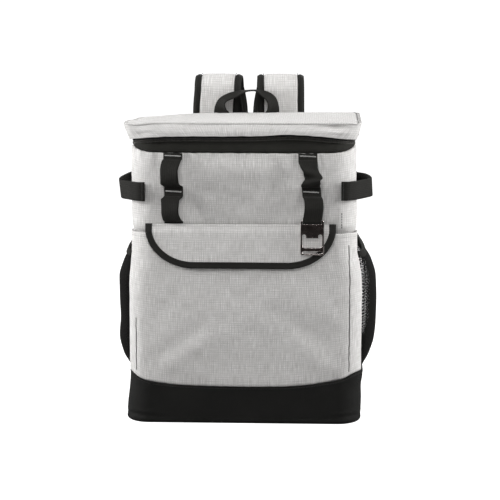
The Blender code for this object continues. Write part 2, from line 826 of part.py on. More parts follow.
def arc_points(centre_x, centre_y, radius, from_angle, to_angle, steps=3):
    points = []
    for step in range(steps + 1):
        angle = math.radians(from_angle + (to_angle - from_angle) * step / steps)
        points.append((centre_x + radius * math.cos(angle), centre_y + radius * math.sin(angle)))
    return points


def rounded_box(left, right, low, high, radius):
    """Outline of a flat rounded rectangle."""
    return (
        arc_points(right - radius, high - radius, radius, 0, 90)
        + arc_points(left + radius, high - radius, radius, 90, 180)
        + arc_points(left + radius, low + radius, radius, 180, 270)
        + arc_points(right - radius, low + radius, radius, 270, 360)
    )


def opener_mouth(half, top, radius):
    """Outline of the mouth: a wide opening whose two upper horns stand beside the tooth."""
    tooth = OPENER_TOOTH_WIDTH / 2
    horn = top + OPENER_NOTCH_HEIGHT
    low = top - OPENER_MOUTH_HEIGHT
    notch = (half - tooth) / 2
    right_horn = arc_points(half - notch, horn - notch, notch, 0, 180, 4)
    left_horn = arc_points(-half + notch, horn - notch, notch, 0, 180, 4)
    return (
        right_horn
        + [(tooth, top), (-tooth, top)]
        + left_horn
        + arc_points(-half + radius, low + radius, radius, 180, 270)
        + arc_points(half - radius, low + radius, radius, 270, 360)
    )


def add_flat_outline(name, outlines, thickness, finish):
    """A flat plate from its outer outline and the outlines of its holes."""
    curve = bpy.data.curves.new(name, "CURVE")
    curve.dimensions = "2D"
    curve.fill_mode = "BOTH"
    curve.extrude = thickness / 2
    for points in outlines:
        spline = curve.splines.new("POLY")
        spline.points.add(len(points) - 1)
        for point, (x, y) in zip(spline.points, points):
            point.co = (x, y, 0.0, 1.0)
        spline.use_cyclic_u = True
    curve.materials.append(finish)
    plate = bpy.data.objects.new(name, curve)
    PIECES.objects.link(plate)
    return plate


def make_opener():
    half = OPENER_WIDTH / 2
    inner = half - OPENER_RAIL
    top = OPENER_BAR / 2
    slot_top = -OPENER_BAR / 2
    slot_low = slot_top - OPENER_SLOT_HEIGHT
    mouth_top = slot_low - OPENER_PLATE_HEIGHT
    bottom = top - OPENER_HEIGHT
    lower_slot = mouth_top - OPENER_MOUTH_HEIGHT - OPENER_LOWER_BAR
    outlines = [
        rounded_box(-half, half, bottom, top, OPENER_CORNER_RADIUS),
        rounded_box(-inner, inner, slot_low, slot_top, OPENER_SLOT_HEIGHT / 4),
        opener_mouth(inner, mouth_top, OPENER_CORNER_RADIUS),
        rounded_box(-inner, inner, lower_slot - OPENER_LOWER_SLOT_HEIGHT, lower_slot, OPENER_LOWER_SLOT_ROUND),
    ]
    opener = add_flat_outline("bottle_opener", outlines, OPENER_THICKNESS, OPENER_METAL)
    opener.location = opener_axis()
    opener.rotation_euler = (math.radians(90), 0, 0)


def make_side_loop(name, side):
    """A loop from the front face, out round the corner and back to the side."""
    z = SIDE_LOOP_HEIGHT
    half_width = body_half_width(z)
    start = half_width - SIDE_LOOP_INSET
    off = GAP + WEBBING_THICKNESS / 2
    front = body_front(z) - off - FOLD_AT_STRAPS
    end_y = body_front(z) + SIDE_LOOP_LENGTH
    out = half_width + SIDE_LOOP_REACH
    stops = (
        (side * start, front, z),
        (side * (start + SIDE_LOOP_REACH / 2), front, z),
        (side * (half_width - 0.1 * BODY_CORNER_RADIUS), front + 0.25 * BODY_CORNER_RADIUS, z),
        (side * (out - 0.1 * SIDE_LOOP_REACH), front + 0.30 * SIDE_LOOP_LENGTH, z - SIDE_LOOP_TILT / 2),
        (side * out, front + 0.52 * SIDE_LOOP_LENGTH, z),
        (side * (out - 0.35 * SIDE_LOOP_REACH), front + 0.78 * SIDE_LOOP_LENGTH, z + SIDE_LOOP_TILT / 2),
        (side * (half_width + off + 0.06 * SIDE_LOOP_REACH), end_y - 0.09 * SIDE_LOOP_LENGTH, z + SIDE_LOOP_TILT),
        (side * (half_width + off), end_y, z + SIDE_LOOP_TILT),
    )
    route = smooth_route(stops, 22)
    across = [Vector((0, 0, 1))] * len(route)
    make_webbing(name, route, across, WEBBING)


def net_point(along, share, outward):
    """A place on a net pocket: along from front, 0, to back, 1, and a share of its height."""
    y = NET_FRONT + along * (NET_BACK - NET_FRONT)
    bottom = boot_seam(BASE_WIDTH / 2, y) + GAP
    z = bottom + share * (NET_TOP - bottom)
    bulge = smooth_table(NET_SECTIONS, share, "bulge")
    edge = 2 * along - 1
    spread = (1 - abs(edge) ** 2.6) ** 0.8
    x = body_half_width(z) + GAP + outward + NET_BULGE * bulge * spread
    return Vector((x, y, z))


def make_net_pocket(side, side_name):
    columns = 12
    binding_share = 1 - NET_BINDING_HEIGHT / (NET_TOP - BOOT_FRONT_HEIGHT)
    shares = [section.height * binding_share for section in NET_SECTIONS]
    shares[-1] -= 4 * GAP / NET_TOP
    rows = []
    for share in shares:
        places = [net_point(step / columns, share, NET_THICKNESS) for step in range(columns + 1)]
        rows.append([(side * place.x, place.y, place.z) for place in places])
    flip_rows = rows if side > 0 else [list(reversed(row)) for row in rows]
    points, faces = loft(flip_rows, closed=False)
    pocket = add_mesh("mesh_pocket_" + side_name, points, faces, NET)
    add_wall(pocket, NET_THICKNESS)

    rows = []
    for share in (binding_share, 1.0):
        places = [net_point(step / columns, share, NET_BINDING_THICKNESS) for step in range(columns + 1)]
        rows.append([(side * place.x, place.y, place.z) for place in places])
    flip_rows = rows if side > 0 else [list(reversed(row)) for row in rows]
    points, faces = loft(flip_rows, closed=False)
    binding = add_mesh("mesh_binding_" + side_name, points, faces, BINDING)
    add_wall(binding, NET_BINDING_THICKNESS)


def make_handle():
    """A webbing arch behind the lid: flat on the back wall, edge on at its top."""
    half = HANDLE_SPACING / 2
    sewn_y = BODY_BACK + GAP + WEBBING_THICKNESS / 2
    clear_y = BODY_BACK + LID_BACK_OVERHANG + 2 * GAP + WEBBING_THICKNESS / 2
    seam = LID_EDGE_HEIGHT - LID_CORNER_DROP
    low = seam - HANDLE_SEAM_DROP - HANDLE_SEWN_LENGTH
    rise = HANDLE_RISE
    left = (
        (-half, sewn_y, low),
        (-half, sewn_y, low + 0.75 * HANDLE_SEWN_LENGTH),
        (-half, clear_y, seam),
        (-half, clear_y, LID_TOP),
        (-0.88 * half, clear_y, LID_TOP + 0.55 * rise),
        (-0.50 * half, clear_y, LID_TOP + 0.92 * rise),
    )
    middle = ((0.0, clear_y, HANDLE_TOP),)
    right = [(-x, y, z) for x, y, z in reversed(left)]
    route = smooth_route((*left, *middle, *right), 34)
    across = []
    for point, direction in zip(route, tangents(route)):
        twist = ease((point.z - LID_TOP - 0.25 * rise) / (0.75 * rise))
        flat = Vector((direction.z, 0, -direction.x))
        edge_on = Vector((0, 1, 0))
        across.append((flat * (1 - twist) + edge_on * twist).normalized())
    shifted = []
    for point, side in zip(route, across):
        shifted.append(point - Vector((0, abs(side.y) * WEBBING_WIDTH / 2, 0)))
    make_webbing("grab_handle", shifted, across, WEBBING)


def strap_route(side):
    """Middle of a shoulder strap: sewn to the back wall, up, over and down behind the bag."""
    x = STRAP_SPACING / 2
    front_y = BODY_BACK + LID_BACK_OVERHANG + WEBBING_THICKNESS + 5 * GAP + STRAP_THICKNESS / 2
    sewn_y = BODY_BACK + WEBBING_THICKNESS + 3 * GAP + STRAP_SEWN_THICKNESS / 2
    back_y = front_y + STRAP_ARCH_DEPTH
    radius = STRAP_ARCH_DEPTH / 2
    arch_z = STRAP_TOP - STRAP_THICKNESS / 2 - radius
    fall = arch_z - STRAP_END_HEIGHT
    near_middle = 0.56 * STRAP_WIDTH
    rise = (
        (x, sewn_y, STRAP_SEWN_HEIGHT),
        (x, sewn_y + 0.1 * STRAP_THICKNESS, STRAP_SEWN_HEIGHT + 0.35 * (LID_TOP - STRAP_SEWN_HEIGHT)),
        (x, front_y, LID_TOP),
        (x, front_y, arch_z),
    )
    down = (
        (x - 0.04 * STRAP_WIDTH, back_y, arch_z),
        (near_middle, back_y + 0.15 * radius, arch_z - 0.11 * fall),
        (near_middle + 0.02 * STRAP_WIDTH, back_y + 0.15 * radius, arch_z - 0.27 * fall),
        (x + 0.10 * STRAP_WIDTH, back_y + 0.05 * radius, arch_z - 0.54 * fall),
        (x + 0.8 * STRAP_END_SPREAD, back_y - 0.25 * radius, arch_z - 0.82 * fall),
        (x + STRAP_END_SPREAD, back_y - 0.5 * radius, STRAP_END_HEIGHT),
    )
    arch = []
    for step in range(1, ARCH_STEPS):
        angle = math.pi * step / ARCH_STEPS
        drift = 0.04 * STRAP_WIDTH * ease(step / ARCH_STEPS)
        arch.append(Vector((
            x - drift,
            front_y + radius * (1 - math.cos(angle)),
            arch_z + radius * math.sin(angle),
        )))
    route = smooth_route(rise, 5) + arch + smooth_route(down, 10)
    return [Vector((side * point.x, point.y, point.z)) for point in route]


def strap_frames(side):
    """Centre, across and outward direction at each station of a shoulder strap."""
    route = strap_route(side)
    frames = []
    for point, direction in zip(route, tangents(route)):
        across = Vector((1, 0, 0)) - direction * direction.x
        across.normalize()
        frames.append((point, across, across.cross(direction)))
    return frames


def make_band(name, frames, sections, finish):
    """A band whose section, (left, right, back, front) from the frame's middle, changes along it."""
    rows = []
    for (centre, across, outward), (left, right, back, front) in zip(frames, sections):
        rows.append([
            centre + across * left + outward * back,
            centre + across * right + outward * back,
            centre + across * right + outward * front,
            centre + across * left + outward * front,
        ])
    points, faces = loft(rows, closed=True)
    last = len(points) - 4
    faces.append((3, 2, 1, 0))
    faces.append((last, last + 1, last + 2, last + 3))
    band = add_mesh(name, points, faces, finish)
    set_outward(band)
    return band


def set_outward(piece):
    work = bmesh.new()
    work.from_mesh(piece.data)
    bmesh.ops.recalc_face_normals(work, faces=work.faces)
    work.to_mesh(piece.data)
    work.free()


def make_shoulder_strap(side, side_name):
    frames = strap_frames(side)
    steps = len(frames) - 1
    half = STRAP_WIDTH / 2
    inner = half - STRAP_BINDING_WIDTH - GAP
    core, lining, near, far = [], [], [], []
    for step, (centre, across, outward) in enumerate(frames):
        sewn = 1 - ease((centre.z - STRAP_SEWN_HEIGHT) / (LID_TOP - STRAP_SEWN_HEIGHT))
        if step > steps / 2:
            sewn = 0.0
        thick = STRAP_THICKNESS + sewn * (STRAP_SEWN_THICKNESS - STRAP_THICKNESS)
        end = ease((steps - step) / 4)
        width = 0.6 + 0.4 * end
        front = thick / 2
        back = -thick / 2
        cut = back + STRAP_LINING_THICKNESS
        core.append((-inner * width, inner * width, cut + 3 * GAP, front - 2 * GAP))
        lining.append((-inner * width, inner * width, back, cut))
        near.append((-half * width, -inner * width - 2 * GAP, back - GAP, front))
        far.append((inner * width + 2 * GAP, half * width, back - GAP, front))
    make_band("shoulder_strap_" + side_name, frames, core, SHELL_CLOTH)
    make_band("strap_lining_" + side_name, frames, lining, LINING)
    inner_side, outer_side = (far, near) if side < 0 else (near, far)
    make_band("strap_binding_inner_" + side_name, frames, inner_side, BINDING)
    make_band("strap_binding_outer_" + side_name, frames, outer_side, BINDING)


def make_buckle(side, side_name):
    """A plain ladder buckle at the strap's end, and the webbing that goes from it to the boot."""
    end, across, outward = strap_frames(side)[-1]
    down = outward.cross(across)
    half = BUCKLE_WIDTH / 2
    outlines = [
        rounded_box(-half, half, -BUCKLE_HEIGHT, 0, BUCKLE_BAR / 2),
        rounded_box(
            -half + BUCKLE_BAR * 0.8,
            half - BUCKLE_BAR * 0.8,
            -BUCKLE_HEIGHT + BUCKLE_BAR,
            -BUCKLE_HEIGHT + BUCKLE_BAR + BUCKLE_SLOT_HEIGHT,
            BUCKLE_BAR / 4,
        ),
    ]
    buckle = add_flat_outline("strap_buckle_" + side_name, outlines, BUCKLE_THICKNESS, BUCKLE)
    top = end + down * GAP
    place = buckle.matrix_world.copy()
    place.col[0][:3] = across
    place.col[1][:3] = -down
    place.col[2][:3] = across.cross(-down)
    place.col[3][:3] = top
    buckle.matrix_world = place

    bar = top + down * (BUCKLE_HEIGHT - BUCKLE_BAR / 2)
    turn = math.hypot(BUCKLE_BAR, BUCKLE_THICKNESS) / 2 + 2 * GAP + WEBBING_THICKNESS / 2
    bend = bight(bar, down, outward, turn, 0, 180, 8)
    tail_end = bend[0] + down * WEBBING_TAIL
    tail = [tail_end, bend[0].lerp(tail_end, 0.4)]
    anchor_y = base_plan().back + GAP + WEBBING_THICKNESS / 2
    anchor = Vector((side * WEBBING_ANCHOR_SPREAD, anchor_y, WEBBING_ANCHOR_HEIGHT * 0.7))
    landing = Vector((side * WEBBING_ANCHOR_SPREAD * 0.95, anchor_y, WEBBING_ANCHOR_HEIGHT * 1.1))
    leave = bend[-1] + down * 0.8 * BUCKLE_HEIGHT
    middle = leave.lerp(landing, 0.55)
    fall = smooth_route([bend[-1], leave, middle, landing, anchor], 14)
    for point in fall:
        point.y = max(point.y, anchor_y)
    webbing = tail + bend + fall[1:]
    sides = []
    for direction in tangents(webbing):
        flat = Vector((1, 0, 0)) - direction * direction.x
        sides.append(flat.normalized())
    first_free = len(tail) + len(bend)
    for index in range(first_free):
        sides[index] = across
    for index in range(first_free, len(webbing)):
        direction = tangents(webbing)[index]
        share = ease((index - first_free) / 6)
        normal = Vector((0, 1, 0))
        level = direction.cross(normal).normalized()
        if level.dot(across) < 0:
            level = -level
        sides[index] = (across * (1 - share) + level * share).normalized()
    make_webbing("lower_webbing_" + side_name, webbing, sides, WEBBING)


PIECES = start_scene()
SHELL_CLOTH = make_material("shell_cloth", (0.40, 0.395, 0.385), 0.85)
BOOT_CLOTH = make_material("boot_cloth", (0.008, 0.008, 0.007), 0.75)
BINDING = make_material("binding", (0.013, 0.013, 0.011), 0.8)
WEBBING = make_material("webbing", (0.011, 0.011, 0.010), 0.7)
TAPE = make_material("zip_tape", (0.018, 0.018, 0.015), 0.8)
COIL = make_material("zip_coil", (0.02, 0.02, 0.018), 0.45)
NET = make_material("net", (0.02, 0.02, 0.02), 0.7)
LINING = make_material("strap_lining", (0.012, 0.012, 0.011), 0.8)
BUCKLE = make_material("buckle", (0.015, 0.015, 0.015), 0.4)
OPENER_METAL = make_material("opener_metal", (0.03, 0.025, 0.024), 0.3, 1.0)

make_boot()
make_body()
make_pocket()
make_flap()
make_lid()
make_zip()
make_slider()
make_daisy_straps()
make_opener()
for side, side_name in ((-1, "left"), (1, "right")):
    make_side_loop("side_loop_" + side_name, side)
    make_net_pocket(side, side_name)
    make_shoulder_strap(side, side_name)
    make_buckle(side, side_name)
make_handle()
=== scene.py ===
"""Cooler backpack: its cloth, webbing, net, zip and bottle opener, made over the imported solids.

Metres, +Z up. The bag's front faces -Y and its right side is +X. Lists of points are arrays: a ring has
x and y in each row, and a grid has rows of points from the bottom up.
"""

import math
from collections import namedtuple

import bpy
import numpy as np
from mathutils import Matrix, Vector


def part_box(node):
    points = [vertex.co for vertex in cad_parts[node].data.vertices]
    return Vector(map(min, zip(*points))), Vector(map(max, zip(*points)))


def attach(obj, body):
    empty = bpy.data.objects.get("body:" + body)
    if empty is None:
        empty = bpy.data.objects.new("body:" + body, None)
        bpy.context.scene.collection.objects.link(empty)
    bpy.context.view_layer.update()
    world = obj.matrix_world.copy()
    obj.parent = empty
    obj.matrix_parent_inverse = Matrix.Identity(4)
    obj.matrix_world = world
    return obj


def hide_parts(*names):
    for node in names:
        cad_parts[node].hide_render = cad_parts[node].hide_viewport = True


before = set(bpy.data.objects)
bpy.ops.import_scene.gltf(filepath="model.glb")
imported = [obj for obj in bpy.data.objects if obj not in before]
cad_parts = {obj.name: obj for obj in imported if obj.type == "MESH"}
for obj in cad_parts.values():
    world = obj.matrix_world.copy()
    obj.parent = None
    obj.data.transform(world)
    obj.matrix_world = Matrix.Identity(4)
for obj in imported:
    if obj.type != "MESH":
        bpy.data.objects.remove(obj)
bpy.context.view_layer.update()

# Clearance between two pieces that touch
GAP = 0.0003

# Boot and tub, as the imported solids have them
BASE_WIDTH = 0.318
BOOT_LOW_WIDTH = 0.3164
BASE_DEPTH = 0.204
BASE_CORNER_RADIUS = 0.032
BOOT_WALL = 0.002
BOOT_FOOT_RADIUS = 0.005
BOOT_FRONT_HEIGHT = 0.051
BOOT_TAPER_START = 0.016
BOOT_SETBACK = 0.0004
BOOT_CORNER_PLACE = 0.150
BOOT_CREASE_DEPTH = 0.0011
BOOT_CREASE_HEIGHT = 0.010
BOOT_CREASE_TURNS = 620
BOOT_FLARE = 0.0026
BOOT_THREAD_DROP = 0.0028
BODY_WALL = 0.006
BODY_LOWER_WIDTH = 0.307
BODY_RIM_WIDTH = 0.300
BODY_BACK = 0.099
BODY_UPPER_FRONT = 0.096
BODY_RIM_SETBACK = 0.004
BODY_CORNER_RADIUS = 0.030
RIM_FRONT_HEIGHT = 0.363
RIM_CORNER_RISE = 0.0085
RIM_CORNER_SHARPNESS = 11
RIM_BAND = 0.020
TUB_LOW_LEVELS = (0.0485, 0.246)
TUB_STEP_TOP = 0.2497
TUB_LIFT_LIMIT = 0.0018
TUB_TACK_DIP = 0.0009
TUB_TACK_REACH = 0.014
TUB_SEAM_X = 0.1305
TUB_SEAM_HEIGHTS = (0.263, 0.285)
TUB_SEAM_RADIUS = 0.0006

# Pocket and flap
POCKET_PANEL_THICKNESS = 0.002
POCKET_SPACE = 0.012
POCKET_HEIGHT = 0.207
POCKET_TOP = 0.258
POCKET_FULLNESS = 0.003
POCKET_CORNER_RADIUS = 0.028
POCKET_GUSSET_LENGTH = 0.040
POCKET_BOW = 0.0025
POCKET_FOLD_SHARE = 0.48
POCKET_HEM_SHARE = 0.72
POCKET_HEM_LIFT = 0.0006
POCKET_SEAM_DIP = 0.0004
# Width of the dark cord that paints the shadow line along each pocket corner seam
POCKET_SEAM_SHADE_CORD = 0.0008
POCKET_GUSSET_STEPS = 6
FLAP_SHIFT = -0.0026
FLAP_WIDTH = 0.252
FLAP_HEIGHT = 0.0585
FLAP_TOP = 0.270
FLAP_RISE = 0.012
FLAP_CORNER_REACH = 0.064
FLAP_SIDE_STRAIGHT = 0.004
FLAP_THICKNESS = 0.002
FLAP_SLACK = 0.0013
BINDING_WIDTH = 0.0095
BINDING_THICKNESS = 0.003

# Lid and zip
LID_TOP = 0.402
LID_FLARE = 0.0062
LID_SKIRT_CLEARANCE = 0.0006
LID_BACK_OVERHANG = 0.0015
LID_WALL = 0.002
LID_LOW_CORNER = 0.027
LID_TOP_CORNER = 0.013
LID_SHIFT = -0.0008
LID_EDGE_HEIGHT = 0.3855
LID_CORNER_DROP = 0.0055
LID_HUMP = 0.0025
LID_HUMP_PLACE = 0.43
LID_HUMP_REACH = 0.25
SKIRT_FULLNESS = 0.0005
LID_SEAM_DROP = 0.0006
LID_CORNER_DIP = 0.0020
LID_DIP_PLACE = -0.138
LID_EDGE_INSETS = (0.0, 0.0006, 0.0016, 0.003, 0.0048)
LID_GROOVE = 0.0005
LID_CROWN = 0.0012
LID_THREAD_INSET = 0.0042
LID_SIDE_THREAD = 0.0004
ZIP_TAPE_THICKNESS = 0.0012
ZIP_TAPE_SETBACK = 0.0023
ZIP_TAPE_TUCK = 0.007
ZIP_TOOTH_PITCH = 0.0016
ZIP_LOWER_TAPE = 0.0115
ZIP_END_STEPS = 5
ZIP_TOOTH_RADIUS = 0.00062
ZIP_TOOTH_REACH = 0.0013
ZIP_CORE_DEPTH = 0.0036

# Webbing, and how far from its middle the threads on its face lie
WEBBING_WIDTH = 0.025
WEBBING_THICKNESS = 0.0015
WEBBING_FACE = WEBBING_THICKNESS / 2 + 0.0001
DAISY_TOP = 0.362
DAISY_TACK = 0.313
DAISY_TACK_LENGTH = 0.012
DAISY_TOP_X = (-0.0919, 0.0857)
DAISY_TACK_X = (-0.0906, 0.0903)
DAISY_LOOP_REACH = 0.011
DAISY_THREAD_WIDTH = 0.0200
DAISY_THREAD_HEIGHT = 0.0018
FOLD_AT_STRAPS = 0.0004
SIDE_LOOP_HEIGHT = 0.310
SIDE_LOOP_INSET = 0.0205
SIDE_LOOP_REACH = (0.0174, 0.0200)
SIDE_LOOP_LIFT = (0.0025, 0.0045)
SIDE_LOOP_LEAN = (0.11, -0.06)
SIDE_LOOP_LENGTH = 0.128
SIDE_LOOP_TILT = (0.0032, -0.0004)
SIDE_THREAD_WIDTH = 0.0225

# Bottle opener
OPENER_AXIS = (0.092, -0.1095, 0.2756)
OPENER_WIDTH = 0.031
OPENER_HEIGHT = 0.0463
OPENER_THICKNESS = 0.0025
OPENER_CORNER_RADIUS = 0.003
OPENER_RAIL = 0.0026
OPENER_BAR = 0.0026
OPENER_SLOT_HEIGHT = 0.0024
OPENER_PLATE_HEIGHT = 0.0186
OPENER_TOOTH_WIDTH = 0.0165
OPENER_NOTCH_HEIGHT = 0.0050
OPENER_MOUTH_HEIGHT = 0.0126
OPENER_LOWER_BAR = 0.0046
OPENER_LOWER_SLOT_HEIGHT = 0.0034
OPENER_EDGE = 0.0006
BIGHT_CLEARANCE = 0.0019

# Net pockets
NET_CORD = 0.0007
NET_CELL = 0.0016
NET_HOLE = 0.65
NET_TOP = 0.239
NET_FRONT_DROP = 0.010
NET_BULGE = 0.022
NET_WIDTH = 0.140
NET_FULL_FRONT = 0.68
NET_FRONT = -0.0611
NET_BACK = 0.066
NET_BINDING_HEIGHT = 0.010
NET_BINDING_THICKNESS = 0.0022

# Handle and shoulder straps
HANDLE_SPACING = 0.074
HANDLE_VIEW_DEPTH = 0.092
HANDLE_VIEW_DISTANCE = 2.46
HANDLE_VIEW_DROP = 0.158
HANDLE_SEWN_LENGTH = 0.030
HANDLE_SEAM_DROP = 0.006
STRAP_WIDTH = 0.066
STRAP_THICKNESS = 0.010
STRAP_SEWN_THICKNESS = 0.004
STRAP_LINING_THICKNESS = 0.0012
STRAP_BINDING_WIDTH = 0.0105
STRAP_SPACING = 0.090
STRAP_TOP = 0.4548
STRAP_LEAN = (0.0022, 0.0002)
STRAP_ARCH_DEPTH = 0.034
STRAP_SEWN_HEIGHT = 0.338
STRAP_END_HEIGHT = 0.145
STRAP_END_SPREAD = 0.026
BUCKLE_WIDTH = 0.034
BUCKLE_HEIGHT = 0.022
BUCKLE_THICKNESS = 0.004
BUCKLE_BAR = 0.004
BUCKLE_SLOT_HEIGHT = 0.0075
WEBBING_TAIL = 0.030
WEBBING_ANCHOR_HEIGHT = 0.036
WEBBING_ANCHOR_SPREAD = 0.128

# Threads
STITCH_LENGTH = 0.0026
STITCH_PITCH = 0.0036
STITCH_RADIUS = 0.00028
PALE_TACK_RADIUS = 0.00036
DARK_TACK_RADIUS = 0.00034
TACK_WIDTH = 0.021
TACK_HEIGHT = 0.0019

# Camera, from edges measured in the photograph
CAMERA_PLACE = (0.10904, -2.36820, 0.59536)
CAMERA_AIM = (0.00564, 0.0, 0.219918)
CAMERA_LENS = 125.43

# The room: how bright the floor and the walls look, and how much light the walls give
FLOOR_GLOW = 1.05
WALL_GLOW = 1.1
WALL_LIGHT = 0.13
FLOOR_REACH = 8

Plan = namedtuple("Plan", "half_width front back corner")
Steps = namedtuple("Steps", "front corner side back")
TubSection = namedtuple("TubSection", "height half_width forward setback")
Fold = namedtuple("Fold", "from_x from_z to_x to_z reach height")
HandleEdge = namedtuple("HandleEdge", "outer_x outer_z inner_x inner_z")
Waves = namedtuple("Waves", "height reach seed")
Softbox = namedtuple("Softbox", "name place aim size power")
SkirtDent = namedtuple("SkirtDent", "x reach share share_reach depth")

FINE = Steps(front=96, corner=14, side=32, back=44)

SOFTBOXES = (
    Softbox("ceiling_softbox", (0.0, 0.15, 1.9), (0, 0, 0.2), (1.2, 1.2), 8.0),
    Softbox("front_softbox", (-0.2, -1.56, 1.81), (0, 0, 0.25), (1.0, 0.8), 19.0),
    Softbox("back_softbox", (0.4, 1.7, 1.5), (0, 0, 0.25), (0.9, 0.9), 12.0),
    Softbox("left_softbox", (-1.65, -0.28, 0.78), (0, 0, 0.25), (0.5, 0.9), 41.0),
    Softbox("right_softbox", (1.65, -0.28, 0.78), (0, 0, 0.25), (0.5, 0.9), 39.0),
)

# Sign of X and name of each side
SIDES = ((-1, "left"), (1, "right"))

# Height above the floor, half the width there, how far the front has come forward of the wall behind the
# pocket, and its share of the rim's setback
TUB_SECTIONS = (
    TubSection(0.0510, 0.1533, 0.0, 0.0),
    TubSection(0.1620, 0.1534, 0.0, 0.0),
    TubSection(0.1890, 0.1530, 0.0, 0.0),
    TubSection(0.2100, 0.1505, 0.0, 0.0),
    TubSection(0.2300, 0.1481, 0.0, 0.0),
    TubSection(0.2497, 0.1480, 0.0, 0.0),
    TubSection(0.2700, 0.1499, 1.0, 0.0),
    TubSection(0.2858, 0.1501, 1.0, -0.05),
    TubSection(0.3016, 0.1499, 1.0, -0.22),
    TubSection(0.3221, 0.1496, 1.0, -0.40),
    TubSection(0.3350, 0.1493, 1.0, -0.40),
    TubSection(0.3444, 0.1490, 1.0, -0.20),
    TubSection(0.3550, 0.1486, 1.0, 0.42),
    TubSection(0.3630, 0.1482, 1.0, 1.00),
)

# How far the body stands to its right at a height
SWAY_HEIGHTS = (0.0, 0.018, 0.038, 0.070, 0.107, 0.189, 0.210, 0.230, 0.264, 0.290, 0.344, 0.400)
SWAY = (0.0, 0.0008, 0.0020, 0.0025, 0.0027, 0.0029, 0.0025, 0.0014, 0.0010, 0.0007, 0.0003, 0.0)

# Distance along the cloth from the middle of the front, and how far the boot's top edge has risen there
SEAM_PLACES = (
    -0.203, -0.169, -0.150, -0.128, -0.106, -0.079, -0.040, 0.0,
    0.047, 0.081, 0.108, 0.130, 0.150, 0.170, 0.203,
)
SEAM_RISE = (
    0.0190, 0.0172, 0.0116, 0.0064, 0.0034, 0.0015, 0.0004, 0.0,
    0.0006, 0.0030, 0.0070, 0.0112, 0.0176, 0.0198, 0.0190,
)

# Where the pocket's two corner seams run, and from and to which share of its height
POCKET_SEAMS = (-0.1451, 0.1392)
POCKET_SEAM_SHARES = ((0.03, 0.42), (0.02, 0.93))

# Share of the pocket's height, and how far the panel stands forward, as a share of its fullness
POCKET_HEIGHTS = (0.0, 0.05, 0.14, 0.24, 0.34, 0.44, 0.54, 0.64, 0.76, 0.88, 1.0)
POCKET_FULLNESS_AT = (0.0, 0.3, 0.6, 0.8, 0.9, 1.0, 1.0, 0.9, 0.7, 0.2, -0.6)

# Height above the floor, and how far the net stands out there on each side, as a share of its bulge
NET_HEIGHTS = (0.066, 0.073, 0.085, 0.108, 0.134, 0.162, 0.189, 0.210, 0.230, 0.239)
NET_BULGE_LEFT = (0.05, 0.32, 0.70, 0.95, 0.88, 0.93, 0.96, 0.78, 0.40, 0.22)
NET_BULGE_RIGHT = (0.05, 0.26, 0.60, 0.92, 1.02, 1.03, 0.99, 0.86, 0.42, 0.08)

# Distance from the middle, and how far the lid's back edge has dropped there
LID_BACK_PLACES = (-0.155, -0.130, -0.108, -0.070, -0.030, 0.0, 0.050, 0.150)
LID_BACK_DROP = (0.0078, 0.0060, 0.0044, 0.0018, 0.0010, 0.0008, 0.0002, 0.0)

# Share of the skirt's height, and how far its front stands out of the rim
SKIRT_SHARES = (0.0, 0.3, 0.6, 1.0)
SKIRT_REACH = (0.0066, 0.0062, 0.0044, 0.0002)

# Dents in the front of the skirt: where and how far across, and where and how far in shares of its height
SKIRT_DENTS = (
    SkirtDent(0.119, 0.020, 0.76, 0.17, 0.0034),
    SkirtDent(-0.130, 0.014, 0.34, 0.17, 0.0016),
    SkirtDent(0.128, 0.014, 0.44, 0.10, -0.0010),
)

# The opener's webbing below its tack: how far aside, and which shares of the way out and down
OPENER_FALL = ((0.0022, 0.62, 0.12), (0.0030, 0.98, 0.45))

# The zip's lower tape: share of its height, and how far it stands out there
ZIP_LOWER_PROFILE = (
    (0.0, 0.0004), (0.12, 0.0012), (0.45, 0.0014), (0.86, 0.0012), (0.97, 0.0007), (1.0, -0.0002),
)

# The zip's two rows of teeth: how far below the lid's edge each begins and ends
ZIP_TOOTH_ROWS = ((0.0010, 0.0032), (0.0040, 0.0066))

# The handle's upper and lower edge in the front view, from its left leg to its right
HANDLE_EDGES = (
    HandleEdge(-0.0494, 0.4010, -0.0270, 0.4010),
    HandleEdge(-0.0489, 0.4070, -0.0318, 0.4060),
    HandleEdge(-0.0472, 0.4140, -0.0337, 0.4115),
    HandleEdge(-0.0422, 0.4224, -0.0326, 0.4160),
    HandleEdge(-0.0323, 0.4288, -0.0280, 0.4190),
    HandleEdge(-0.0182, 0.4331, -0.0180, 0.4232),
    HandleEdge(-0.0026, 0.4345, -0.0040, 0.4308),
    HandleEdge(0.0087, 0.4349, 0.0100, 0.4318),
    HandleEdge(0.0186, 0.4346, 0.0175, 0.4255),
    HandleEdge(0.0299, 0.4311, 0.0232, 0.4205),
    HandleEdge(0.0383, 0.4241, 0.0262, 0.4160),
    HandleEdge(0.0419, 0.4142, 0.0266, 0.4110),
    HandleEdge(0.0430, 0.4075, 0.0258, 0.4060),
    HandleEdge(0.0433, 0.4010, 0.0230, 0.4010),
)

# Unevenness of the cloth: how much it is, how far apart its waves are, and the seed of its draws
BOOT_DENTS = Waves(0.0010, 0.060, 11)
BOOT_PUCKER = Waves(0.0005, 0.011, 12)
TUB_WAVES = Waves(0.0009, 0.055, 21)
TUB_SMALL_WAVES = Waves(0.0006, 0.022, 22)
RIM_GATHERS = Waves(0.0016, 0.013, 23)
TUB_FOOT_GATHERS = Waves(0.0005, 0.012, 24)
RIM_EDGE_GATHERS = Waves(0.0007, 0.016, 25)
POCKET_HEM_GATHERS = Waves(0.0006, 0.020, 31)
POCKET_WAVES = Waves(0.0014, 0.085, 32)
POCKET_SMALL_WAVES = Waves(0.0006, 0.030, 33)
POCKET_FOOT_GATHERS = Waves(0.0006, 0.010, 34)
POCKET_SEAM_GATHERS = Waves(0.0004, 0.013, 35)
POCKET_SEAM_WANDER = (Waves(0.0006, 0.020, 35), Waves(0.0006, 0.020, 37))
